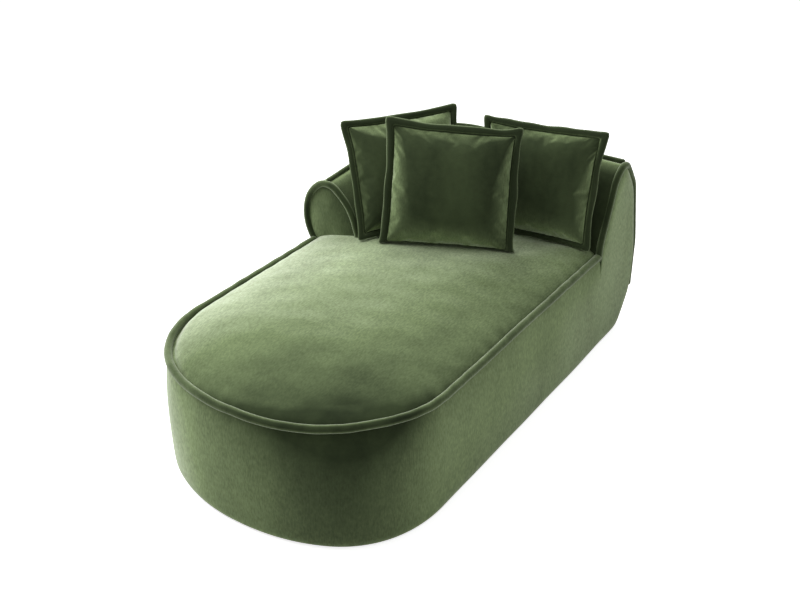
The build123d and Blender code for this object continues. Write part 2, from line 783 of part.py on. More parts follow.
with BuildPart() as rib_screws:
    with BuildSketch(Plane.XY.offset(deck_bottom - rib_screw_head_height)):
        with Locations(*screw_places):
            Circle(rib_screw_head_radius)
    extrude(amount=rib_screw_head_height)
    with BuildSketch(Plane.XY.offset(deck_bottom)):
        with Locations(*screw_places):
            Circle(rib_screw_radius)
    extrude(amount=ring_thickness + rib_screw_bite)
save(rib_screws, "rib_screws")

rail_top = back_ridge_height - rib_inset - back_rail_drop
rail_y = back_y - ridge_point(back_shape, 0)[0]
with BuildPart() as back_top_rail:
    for right, left in zip(rib_places, rib_places[1:]):
        with BuildSketch(Plane.XY.offset(rail_top - rail_size)):
            with Locations(((right - rib_thickness + left) / 2, rail_y)):
                Rectangle(right - rib_thickness - left, rail_size)
        extrude(amount=rail_size)
save(back_top_rail, "back_top_rail")

arm_rail_top = arm_ridge_height - rib_inset - arm_rail_drop
arm_rail_x = -arm_x + (ridge_point(arm_shape, 0)[0] + ridge_point(back_shape, 0)[0]) / 2
arm_rail_front = arm_foam_y + rib_thickness
with BuildPart() as arm_top_rail:
    with BuildSketch(Plane.XY.offset(arm_rail_top - rail_size)):
        with Locations((arm_rail_x, (arm_rail_front + corner_y) / 2)):
            Rectangle(rail_size, corner_y - arm_rail_front)
    extrude(amount=rail_size)
save(arm_top_rail, "arm_top_rail")

# Foam of the back, the corner, the arm and the arm's face
inner_inset = foam_inset + back_foam_thickness
with BuildPart() as back_foam:
    with BuildSketch(back_plane(side_rib_x)):
        draw_section(back_shape, deck_height, foam_inset)
        draw_section(back_shape, deck_height, inner_inset, mode=Mode.SUBTRACT)
    extrude(amount=side_rib_x - corner_x)
save(back_foam, "back_foam")

with BuildPart() as corner_foam:
    with BuildSketch(back_plane(corner_x)):
        draw_section(back_shape, deck_height, foam_inset)
        draw_section(back_shape, deck_height, inner_inset, mode=Mode.SUBTRACT)
    revolve(axis=Axis((corner_x, corner_y, 0), (0, 0, 1)), revolution_arc=90)
save(corner_foam, "corner_foam")

with BuildPart() as arm_foam:
    add(arm_block(foam_inset, deck_height, arm_foam_y))
    add(arm_block(inner_inset, deck_height, arm_foam_y), mode=Mode.SUBTRACT)
save(arm_foam, "arm_foam")

with BuildPart() as arm_face_foam:
    with BuildSketch(arm_plane(face_foam_y + face_foam_thickness)):
        with BuildLine():
            face_points = draw_arm_edge(end_inset, wall_top + layer_gap)
            Line(face_points[-1], face_points[0])
        make_face()
    extrude(amount=face_foam_thickness)
save(arm_face_foam, "arm_face_foam")

# Velvet of the back, the corner and the arm, inside and outside the ridge
ridge_half = ridge_pipe_radius + layer_gap


def back_cover(base, heel):
    """Velvet shell over the straight back."""
    with BuildPart() as shell:
        add(back_block(0, base, cover_end_x))
        if heel:
            add(heel_bar(0), mode=Mode.SUBTRACT)
    with BuildPart() as core:
        add(back_block(cover_thickness, base, cover_end_x))
        if heel:
            add(heel_bar(cover_thickness), mode=Mode.SUBTRACT)
    with BuildPart() as cover:
        add(shell.part)
        add(core.part, mode=Mode.SUBTRACT)
    return cover.part


def corner_cover(base, heel):
    """Velvet shell over the corner."""
    with BuildPart() as shell:
        add(corner_block(0, base))
        if heel:
            add(heel_bar(0), mode=Mode.SUBTRACT)
    with BuildPart() as core:
        add(corner_block(cover_thickness, base))
        if heel:
            add(heel_bar(cover_thickness), mode=Mode.SUBTRACT)
    with BuildPart() as cover:
        add(shell.part)
        add(core.part, mode=Mode.SUBTRACT)
    return cover.part


def arm_cover(base):
    """Velvet shell over the arm."""
    with BuildPart() as cover:
        add(arm_block(0, base, arm_cover_y))
        add(arm_block(cover_thickness, base, arm_cover_y), mode=Mode.SUBTRACT)
    return cover.part


inside_fence = ridge_fence(ridge_half)
outside_fence = ridge_fence(-ridge_half)

with BuildPart() as inside_back:
    add(back_cover(deck_height, False))
    keep_above(wall_top + layer_gap)
    add(inside_fence, mode=Mode.SUBTRACT)
save(inside_back, "inside_back")

with BuildPart() as inside_corner:
    add(corner_cover(deck_height, False))
    keep_above(wall_top + layer_gap)
    add(inside_fence, mode=Mode.SUBTRACT)
save(inside_corner, "inside_corner")

with BuildPart() as inside_arm:
    add(arm_cover(deck_height))
    keep_above(wall_top + layer_gap)
    add(inside_fence, mode=Mode.SUBTRACT)
save(inside_arm, "inside_arm")

with BuildPart() as outside_back:
    add(back_cover(hem_height, True))
    add(outside_fence, mode=Mode.INTERSECT)
save(outside_back, "outside_back")

with BuildPart() as outside_corner:
    add(corner_cover(hem_height, True))
    add(outside_fence, mode=Mode.INTERSECT)
save(outside_corner, "outside_corner")

with BuildPart() as outside_arm:
    add(arm_cover(hem_height))
    add(outside_fence, mode=Mode.INTERSECT)
save(outside_arm, "outside_arm")

with BuildPart() as arm_front_panel:
    with BuildSketch(arm_plane(arm_front_y + cover_thickness)):
        with BuildLine():
            face_points = draw_arm_edge(end_inset, wall_top + layer_gap)
            Line(face_points[-1], face_points[0])
        make_face()
    extrude(amount=cover_thickness)
save(arm_front_panel, "arm_front_panel")

# Piping of the ridge, the upright end and the arm's face
ridge_back = ridge_point(back_shape, -ridge_pipe_lift)
ridge_arm = ridge_point(arm_shape, -ridge_pipe_lift)
ridge_turn = rear_corner_radius - ridge_back[0]
ridge_mid = ridge_turn * cos(radians(45))
ridge_slope = (arm_cover_y - arm_front_y) / (corner_y - arm_front_y)
ridge_front_x = -arm_x + ridge_arm[0] + (ridge_back[0] - ridge_arm[0]) * ridge_slope
ridge_front_z = ridge_arm[1] + (ridge_back[1] - ridge_arm[1]) * ridge_slope
ridge_start = Vector(cover_end_x, corner_y + ridge_turn, ridge_back[1])
ridge_bend = Vector(corner_x - ridge_turn, corner_y, ridge_back[1])
ridge_front = Vector(ridge_front_x, arm_cover_y, ridge_front_z)
with BuildPart() as ridge_piping:
    with BuildLine() as ridge_line:
        Line(ridge_start, (corner_x, corner_y + ridge_turn, ridge_back[1]))
        ThreePointArc(
            (corner_x, corner_y + ridge_turn, ridge_back[1]),
            (corner_x - ridge_mid, corner_y + ridge_mid, ridge_back[1]),
            ridge_bend,
        )
    with BuildSketch(Plane(origin=ridge_start, z_dir=ridge_line.line % 0)):
        Circle(ridge_pipe_radius)
    sweep()
    with BuildSketch(Plane(origin=ridge_bend, z_dir=ridge_front - ridge_bend)):
        Circle(ridge_pipe_radius)
    extrude(amount=(ridge_front - ridge_bend).length)
    with Locations(ridge_bend):
        Sphere(ridge_pipe_radius)
save(ridge_piping, "ridge_piping")

end_points, end_radii = inset_section(back_shape, deck_height, end_pipe_sink)
end_points[0] = (back_foot_depth - end_pipe_sink, wall_top + layer_gap)
end_points[-1] = (end_pipe_sink, heel_radius)
with BuildPart() as end_piping:
    with BuildLine(back_plane(side_x)) as end_line:
        FilletPolyline(end_points, radius=end_radii)
    with BuildSketch(Plane(origin=end_line.line @ 0, z_dir=end_line.line % 0)):
        Circle(end_pipe_radius)
    sweep()
save(end_piping, "end_piping")

with BuildPart() as arm_piping:
    with BuildLine(arm_plane(arm_front_y)) as arm_line:
        draw_arm_edge(end_pipe_sink, skirt_bottom + layer_gap)
    with BuildSketch(Plane(origin=arm_line.line @ 0, z_dir=arm_line.line % 0)):
        Circle(end_pipe_radius)
    sweep()
save(arm_piping, "arm_piping")


def cushion_plane(x, y, z, turn, lean, roll):
    """Middle plane of a cushion: origin at its bottom centre, its face turned, leaned back and rolled."""
    along = Vector(cos(radians(turn)), sin(radians(turn)), 0)
    back = Vector(-sin(radians(turn)), cos(radians(turn)), 0)
    rise = back * sin(radians(lean)) + Vector(0, 0, cos(radians(lean)))
    edge = along * cos(radians(roll)) + rise * sin(radians(roll))
    return Plane(origin=(x, y, seam_height + z), x_dir=edge, z_dir=along.cross(rise))


def draw_cushion(inset, mode=Mode.ADD):
    """Square outline with drawn-in sides and rounded corners, standing on the plane's origin."""
    half = cushion_size / 2 - inset
    corner = cushion_corner * half / (cushion_size / 2)
    tip = half - corner * (1 - cos(radians(45)))
    dip = half - cushion_draw_in
    centre = cushion_size / 2

    def place(u, v):
        return (u, centre + v)

    with BuildLine() as outline:
        for side in range(4):
            turn = radians(90 * side)

            def spun(u, v):
                return place(u * cos(turn) - v * sin(turn), u * sin(turn) + v * cos(turn))

            ThreePointArc(spun(half, corner - half), spun(dip, 0), spun(half, half - corner))
            ThreePointArc(spun(half, half - corner), spun(tip, tip), spun(half - corner, half))
    make_face(outline.edges(), mode=mode)


def cushion_fill(plane, inset):
    """Crowned pillow solid between the flange's inner edges, moved inward by inset."""
    half_thickness = cushion_thickness / 2 - inset
    levels = [(side, -share) for side, share in zip(cushion_fill_inset, cushion_fill_share)]
    levels += [(side, -share) for side, share in reversed(levels[:-1])]
    edge = flange_width + layer_gap + inset
    with BuildPart() as pillow:
        for side, share in levels:
            with BuildSketch(plane.offset(share * half_thickness)):
                draw_cushion(edge + side)
        loft(ruled=True)
    return pillow.part


for name, place in cushion_places.items():
    stand = cushion_plane(*place)
    with BuildPart() as cushion_cover:
        add(cushion_fill(stand, 0))
        add(cushion_fill(stand, cover_thickness), mode=Mode.SUBTRACT)
    save(cushion_cover, "cushion_" + name + "_cover")
    with BuildPart() as cushion_insert:
        add(cushion_fill(stand, cover_thickness + layer_gap))
    save(cushion_insert, "cushion_" + name + "_insert")
    with BuildPart() as cushion_flange:
        with BuildSketch(stand.offset(-flange_thickness / 2)):
            draw_cushion(0)
            draw_cushion(flange_width, mode=Mode.SUBTRACT)
        extrude(amount=flange_thickness)
    save(cushion_flange, "cushion_" + name + "_flange")
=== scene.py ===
"""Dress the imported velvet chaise: crowned seat, bulging wall, wrapped back and arm, piping, three cushions.

Metres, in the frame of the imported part: +Y from the round nose to the back, +X to the flat open side, +Z up.
"""

import json
import logging
import math
from dataclasses import dataclass, field
from enum import Enum
from typing import Callable, Optional

import bpy
import numpy as np
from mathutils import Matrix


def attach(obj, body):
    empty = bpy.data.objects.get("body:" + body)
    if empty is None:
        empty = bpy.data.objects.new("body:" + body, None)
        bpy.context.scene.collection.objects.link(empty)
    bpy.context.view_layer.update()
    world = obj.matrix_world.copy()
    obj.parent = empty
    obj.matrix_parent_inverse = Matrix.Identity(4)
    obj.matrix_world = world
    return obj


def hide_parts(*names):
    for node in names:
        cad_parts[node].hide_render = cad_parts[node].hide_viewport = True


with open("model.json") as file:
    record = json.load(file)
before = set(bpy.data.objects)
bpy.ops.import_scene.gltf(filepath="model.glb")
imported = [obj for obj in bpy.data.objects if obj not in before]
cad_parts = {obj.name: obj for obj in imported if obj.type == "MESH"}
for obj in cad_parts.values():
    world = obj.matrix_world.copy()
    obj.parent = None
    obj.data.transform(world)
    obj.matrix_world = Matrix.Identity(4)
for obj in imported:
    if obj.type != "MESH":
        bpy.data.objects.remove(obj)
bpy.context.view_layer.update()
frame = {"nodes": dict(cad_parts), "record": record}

LOG = logging.getLogger("chaise")
Array = np.ndarray
Colour = tuple[float, float, float, float]
Triple = tuple[float, float, float]
Material = bpy.types.Material
Piece = bpy.types.Object
Socket = bpy.types.NodeSocket
FLANGE_MARK = "flange"
ARC_STEPS = 24
WELD_REACH = 1e-5
TINY = 1e-9


class Body(str, Enum):
    """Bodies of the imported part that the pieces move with."""

    CHAISE = "chaise"
    LEFT = "left_cushion"
    MIDDLE = "middle_cushion"
    RIGHT = "right_cushion"


class Slot(str, Enum):
    """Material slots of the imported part."""

    VELVET = "velvet"
    EDGE = "velvet_edge"


class Along(Enum):
    """Direction in which the pile was last brushed, as the stretch of its streaks along X, Y and Z."""

    SEAT = (1.0, 0.35, 1.0)
    UPRIGHT = (1.0, 1.0, 0.3)


def rounded_path(corners: Array, radii: Array) -> Array:
    """Round the corners of an open polyline: each corner becomes an arc between its two tangent points.

    Args:
        corners: Points of the polyline, one row each.
        radii: Radius at each inner corner.

    Returns:
        Points along the rounded line.
    """
    parts = [corners[:1]]
    for before, point, after, radius in zip(corners[:-2], corners[1:-1], corners[2:], radii):
        back = unit(before - point)
        on = unit(after - point)
        half = 0.5 * math.acos(float(np.clip(back @ on, -1.0, 1.0)))
        centre = point + unit(back + on) * radius / math.sin(half)
        start = point + back * radius / math.tan(half) - centre
        end = point + on * radius / math.tan(half) - centre
        turn = math.acos(float(np.clip(start @ end / radius**2, -1.0, 1.0)))
        share = np.linspace(0.0, 1.0, ARC_STEPS)[:, None]
        arc = (np.sin((1.0 - share) * turn) * start + np.sin(share * turn) * end) / math.sin(turn)
        parts.append(centre + arc)
    parts.append(corners[-1:])
    return np.vstack(parts)


def lengths_along(path: Array) -> Array:
    """Length from the start of a path to each of its points."""
    steps = np.linalg.norm(np.diff(path, axis=0), axis=1)
    return np.concatenate([[0.0], np.cumsum(steps)])


def resample(path: Array, count: int) -> Array:
    """Spread points evenly along a path.

    Args:
        path: Points along the path, one row each.
        count: How many points to return.

    Returns:
        Evenly spaced points from the first to the last.
    """
    reach = lengths_along(path)
    wanted = np.linspace(0.0, reach[-1], count)
    return np.stack([np.interp(wanted, reach, column) for column in path.T], axis=1)


def directions(path: Array) -> Array:
    """Unit direction of a path at each of its points."""
    return unit(np.gradient(path, axis=0))


def unit(vectors: Array) -> Array:
    """Vectors along the last axis, brought to length one."""
    return vectors / np.linalg.norm(vectors, axis=-1, keepdims=True)


def spread_points(x: object, y: object, z: object) -> Array:
    """Points from X, Y and Z, spread to one shape."""
    return np.stack(np.broadcast_arrays(x, y, z), axis=-1).astype(float)


def limited(value: Array) -> Array:
    """Value kept between 0 and 1."""
    return np.clip(value, 0.0, 1.0)


def ease(share: Array) -> Array:
    """Smooth step: three times the square less twice the cube, flat at 0 and at 1."""
    return share * share * (3.0 - 2.0 * share)


def soft_least(first: Array, second: Array, blend: float) -> Array:
    """Smaller of two heights with the crease between them rounded over about the blend length."""
    return -blend * np.logaddexp(-first / blend, -second / blend)


def ripple(points: Array, wave: float, seed: int) -> Array:
    """Smooth wandering value between about -1 and 1: a sum of sine waves in seeded directions.

    Args:
        points: Places at which the value is wanted, in metres, last axis X, Y, Z.
        wave: Typical wavelength in metres.
        seed: Seed of the directions.

    Returns:
        One value for each place.
    """
    generator = np.random.default_rng(seed)
    waves = 7
    aims = unit(generator.normal(size=(waves, 3)))
    tones = generator.uniform(0.7, 1.6, size=waves) * 2.0 * math.pi / wave
    shifts = generator.uniform(0.0, 2.0 * math.pi, size=waves)
    return np.sin((points @ aims.T) * tones + shifts).mean(axis=-1) * 1.6


def grid_quads(index: Array) -> Array:
    """Corner numbers of the four-sided faces of a grid of point numbers."""
    corners = [index[:-1, :-1], index[1:, :-1], index[1:, 1:], index[:-1, 1:]]
    return np.stack(corners, axis=-1).reshape(-1, 4)


def grid_piece(name: str, points: Array, round_columns: bool = False) -> Piece:
    """Make a smooth mesh piece from a grid of points.

    Args:
        name: Name of the piece.
        points: Rows by columns by three.
        round_columns: Join the last column to the first.

    Returns:
        The new object, at the origin.
    """
    rows, columns = points.shape[:2]
    index = np.arange(rows * columns).reshape(rows, columns)
    if round_columns:
        index = np.hstack([index, index[:, :1]])
    return faces_piece(name, points.reshape(-1, 3), grid_quads(index))


def faces_piece(name: str, points: Array, faces: Array, marked: Optional[Array] = None) -> Piece:
    """Make a smooth mesh piece from points and faces, with doubles merged.

    Args:
        name: Name of the piece.
        points: Points, one row each.
        faces: Corner numbers of each face.
        marked: Value of the flange mark at each point.

    Returns:
        The new object, at the origin.
    """
    mesh = bpy.data.meshes.new(name)
    mesh.from_pydata(points.astype(float).tolist(), [], faces.tolist())
    if marked is not None:
        mark = mesh.attributes.new(FLANGE_MARK, "FLOAT", "POINT")
        mark.data.foreach_set("value", marked.astype(np.float32))
    piece = bpy.data.objects.new(name, mesh)
    bpy.context.scene.collection.objects.link(piece)
    on_whole_mesh(piece, lambda: bpy.ops.mesh.remove_doubles(threshold=WELD_REACH))
    mesh.polygons.foreach_set("use_smooth", np.ones(len(mesh.polygons), dtype=bool))
    mesh.update()
    return piece


def on_whole_mesh(piece: Piece, action: Callable[[], object]) -> None:
    """Run an edit on a piece with its whole mesh selected.

    Args:
        piece: The piece.
        action: The edit.
    """
    bpy.ops.object.select_all(action="DESELECT")
    bpy.context.view_layer.objects.active = piece
    piece.select_set(True)
    bpy.ops.object.mode_set(mode="EDIT")
    bpy.ops.mesh.select_all(action="SELECT")
    action()
    bpy.ops.object.mode_set(mode="OBJECT")


def read_points(mesh: bpy.types.Mesh) -> Array:
    """Points of a mesh, one row each."""
    points = np.empty(len(mesh.vertices) * 3)
    mesh.vertices.foreach_get("co", points)
    return points.reshape(-1, 3)


def write_points(mesh: bpy.types.Mesh, points: Array) -> None:
    """Move the points of a mesh, one row each."""
    mesh.vertices.foreach_set("co", points.reshape(-1))
    mesh.update()


def tube_piece(name: str, path: Array, aside: Array, radius: float, ring: int = 22) -> Piece:
    """Make a piping cord: a ring carried along a path, with round ends and a slightly uneven thickness.

    Args:
        name: Name of the piece.
        path: Middle line of the cord.
        aside: Direction across the cord at each point of the path.
        radius: Radius of the cord.
        ring: Points round the cord.

    Returns:
        The new object, at the origin.
    """
    ahead = directions(path)
    across = unit(aside - (aside * ahead).sum(axis=1, keepdims=True) * ahead)
    over = np.cross(ahead, across)
    cap = np.linspace(0.0, math.pi / 2, 7)[:-1]
    size = np.concatenate([np.sin(cap), np.ones(len(path)), np.sin(cap)[::-1]])
    slide = np.concatenate([-np.cos(cap), np.zeros(len(path)), np.cos(cap)[::-1]]) * radius
    pick = np.concatenate([np.zeros(len(cap), int), np.arange(len(path)), np.full(len(cap), len(path) - 1)])
    uneven = 1.0 + 0.018 * ripple(path, 0.05, 5)[pick]
    turn = np.linspace(0.0, 2.0 * math.pi, ring, endpoint=False)
    level = np.cos(turn)[None, :, None] * across[pick][:, None]
    spokes = level + np.sin(turn)[None, :, None] * over[pick][:, None]
    middle = path[pick] + slide[:, None] * ahead[pick]
    points = middle[:, None] + spokes * (radius * size * uneven)[:, None, None]
    piece = grid_piece(name, points, round_columns=True)
    on_whole_mesh(piece, lambda: bpy.ops.mesh.normals_make_consistent(inside=False))
    return piece


class Nodes:
    """Short hand for building the node tree of one material."""

    def __init__(self, name: str) -> None:
        """Start an empty material with an output and a Principled shader."""
        self.material = bpy.data.materials.new(name)
        self.material.use_nodes = True
        self.tree = self.material.node_tree
        self.tree.nodes.clear()
        self.shader = self.tree.nodes.new("ShaderNodeBsdfPrincipled")
        output = self.tree.nodes.new("ShaderNodeOutputMaterial")
        self.tree.links.new(self.shader.outputs["BSDF"], output.inputs["Surface"])

    def add(self, kind: str, **inputs: object) -> bpy.types.Node:
        """Add a node and set its sockets by name, or link them where a socket is given.

        Args:
            kind: Blender's node type.
            inputs: Socket names, with _ for a blank, and their values.

        Returns:
            The new node.
        """
        node = self.tree.nodes.new(kind)
        self.fill(node, **inputs)
        return node

    def fill(self, node: bpy.types.Node, **inputs: object) -> None:
        """Set or link a node's sockets by name, with _ for a blank."""
        for name, value in inputs.items():
            self.set(node.inputs[name.replace("_", " ")], value)

    def set(self, socket: Socket, value: object) -> None:
        """Set a socket's value, or link it where the value is a socket."""
        if isinstance(value, Socket):
            self.tree.links.new(value, socket)
        else:
            socket.default_value = value

    def noise(self, place: Socket, scale: float, detail: float, rough: float = 0.55) -> Socket:
        """Noise value at a place.

        Args:
            place: Coordinates.
            scale: Noise scale, per metre.
            detail: Octaves.
            rough: Weight of the finer octaves.

        Returns:
            The noise value, about 0.5 in the middle.
        """
        node = self.add("ShaderNodeTexNoise", Vector=place, Scale=scale, Detail=detail, Roughness=rough)
        return node.outputs[0]

    def ramp(self, value: Socket, low: float, high: float, start: float, end: float) -> Socket:
        """Carry a value from one range to another, clamped.

        Args:
            value: Input value.
            low: Input that gives start.
            high: Input that gives end.
            start: First output.
            end: Last output.

        Returns:
            The carried value.
        """
        node = self.tree.nodes.new("ShaderNodeMapRange")
        node.clamp = True
        for number, entry in enumerate((value, low, high, start, end)):
            self.set(node.inputs[number], entry)
        return node.outputs[0]

    def sum(self, first: Socket, second: object, kind: str = "ADD") -> Socket:
        """Join two values with a Math node of the given kind."""
        node = self.tree.nodes.new("ShaderNodeMath")
        node.operation = kind
        self.set(node.inputs[0], first)
        self.set(node.inputs[1], second)
        return node.outputs[0]

    def mix(self, share: object, first: object, second: object) -> Socket:
        """Mix two colours.

        Args:
            share: Share of the second colour.
            first: First colour or socket.
            second: Second colour or socket.

        Returns:
            The mixed colour.
        """
        node = self.tree.nodes.new("ShaderNodeMix")
        node.data_type = "RGBA"
        self.set(node.inputs[0], share)
        self.set(node.inputs[6], first)
        self.set(node.inputs[7], second)
        return node.outputs[2]


@dataclass(frozen=True)
class Velvet:
    """Short-pile velvet: dark where the pile is seen end on; where it is seen from the side, a painted sheen
    turns it pale and then near white.
    """

    name: str
    deep: Colour = (0.014, 0.0215, 0.0082, 1.0)
    brushed: Colour = (0.040, 0.057, 0.023, 1.0)
    # Painted sheen colours: pale where the surface turns away from the view, then sheen white at a grazing
    # view.
    pale: Colour = (0.330, 0.430, 0.205, 1.0)
    sheen_white: Colour = (0.64, 0.67, 0.58, 1.0)
    along: Along = Along.UPRIGHT
    patch_scale: float = 4.5
    # Share and facing range of the painted rim sheen.
    rim_share: float = 0.90
    rim_start: float = 0.12
    rim_end: float = 0.86
    # Facing value where the painted white sheen begins, and its share.
    sheen_white_start: float = 0.40
    sheen_white_share: float = 0.85
    # Share of the brushed tone and of the painted sheen that the flange keeps.
    flange_share: float = 0.30
    sheen: float = 0.22
    sheen_tint: Colour = (0.70, 0.84, 0.55, 1.0)
    bump: float = 0.16
    mottle_scale: float = 42.0
    slub_scale: float = 230.0
    thread_scale: float = 620.0
    grain_scale: float = 1500.0

    def build(self) -> Material:
        """Build the material.

        Returns:
            The velvet material, on Object coordinates.
        """
        nodes = Nodes(self.name)
        place = nodes.add("ShaderNodeTexCoord").outputs["Object"]
        streak = nodes.add("ShaderNodeMapping", Vector=place, Scale=self.along.value).outputs[0]
        patch = nodes.noise(streak, self.patch_scale, 3.0)
        mottle = nodes.noise(place, self.mottle_scale, 6.0, 0.68)
        thread = nodes.noise(streak, self.thread_scale, 3.0, 0.6)
        grain = nodes.noise(place, self.grain_scale, 2.0, 0.6)
        lay = nodes.sum(nodes.ramp(patch, 0.36, 0.64, 0.0, 0.7), nodes.ramp(mottle, 0.3, 0.7, 0.0, 0.3))
        # The flange mark cuts the brushed tone and the painted sheen down to flange_share on the flange, so
        # the flange stays darker.
        flange = nodes.tree.nodes.new("ShaderNodeAttribute")
        flange.attribute_name = FLANGE_MARK
        kept = nodes.ramp(flange.outputs["Fac"], 0.0, 1.0, 1.0, self.flange_share)
        ground = nodes.mix(nodes.sum(lay, kept, "MULTIPLY"), self.deep, self.brushed)
        # Painted sheen: Layer Weight Facing lightens the base colour where the surface turns away from the
        # camera, first to pale and then to sheen white.
        facing = nodes.add("ShaderNodeLayerWeight", Blend=0.5).outputs["Facing"]
        turned_off = nodes.ramp(facing, self.rim_start, self.rim_end, 0.0, self.rim_share)
        rim = nodes.sum(turned_off, kept, "MULTIPLY")
        slub = nodes.noise(streak, self.slub_scale, 2.0, 0.5)
        uneven = nodes.ramp(mottle, 0.25, 0.75, 0.84, 1.14)
        woven = nodes.sum(uneven, nodes.ramp(slub, 0.3, 0.7, 0.75, 1.25), "MULTIPLY")
        broken = nodes.sum(rim, woven, "MULTIPLY")
        turned = nodes.sum(broken, nodes.ramp(patch, 0.3, 0.7, 0.82, 1.14), "MULTIPLY")
        painted_white_sheen = nodes.ramp(facing, self.sheen_white_start, 1.0, 0.0, self.sheen_white_share)
        painted_sheen_colour = nodes.mix(nodes.sum(painted_white_sheen, kept, "MULTIPLY"), self.pale, self.sheen_white)
        pile = nodes.sum(nodes.sum(grain, thread), nodes.sum(slub, mottle))
        bump = nodes.add("ShaderNodeBump", Strength=self.bump, Distance=0.0016, Height=pile)
        nodes.fill(nodes.shader, Base_Color=nodes.mix(turned, ground, painted_sheen_colour), Roughness=0.9,
                   Specular_IOR_Level=0.12, Sheen_Weight=self.sheen, Sheen_Roughness=0.42,
                   Sheen_Tint=self.sheen_tint, Normal=bump.outputs[0])
        return nodes.material


@dataclass(frozen=True)
class InnerFinish:
    """Plain finish of a hidden piece: two tones in a stretched noise, with a little bump."""

    name: str
    dark: Colour
    light: Colour
    stretch: Triple = (1.0, 1.0, 1.0)
    scale: float = 30.0
    roughness: float = 0.8
    metallic: float = 0.0
    bump: float = 0.2

    def build(self) -> Material:
        """Build the material.

        Returns:
            The finish, on Object coordinates.
        """
        nodes = Nodes(self.name)
        place = nodes.add("ShaderNodeTexCoord").outputs["Object"]
        drawn = nodes.add("ShaderNodeMapping", Vector=place, Scale=self.stretch).outputs[0]
        tone = nodes.noise(drawn, self.scale, 6.0, 0.65)
        share = nodes.ramp(tone, 0.3, 0.7, 0.0, 1.0)
        bump = nodes.add("ShaderNodeBump", Strength=self.bump, Distance=0.001, Height=tone)
        nodes.fill(nodes.shader, Base_Color=nodes.mix(share, self.dark, self.light),
                   Roughness=self.roughness, Metallic=self.metallic, Normal=bump.outputs[0])
        return nodes.material


def dress(piece: Piece, material: Material, slot: Slot, body: Body, *nodes: str) -> None:
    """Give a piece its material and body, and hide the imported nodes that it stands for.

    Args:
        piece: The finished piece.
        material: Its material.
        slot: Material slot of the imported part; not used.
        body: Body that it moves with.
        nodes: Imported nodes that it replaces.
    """
    piece.data.materials.clear()
    piece.data.materials.append(material)
    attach(piece, body.value)
    if nodes:
        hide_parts(*nodes)
    LOG.info("%s: %d faces on %s", piece.name, len(piece.data.polygons), body.value)


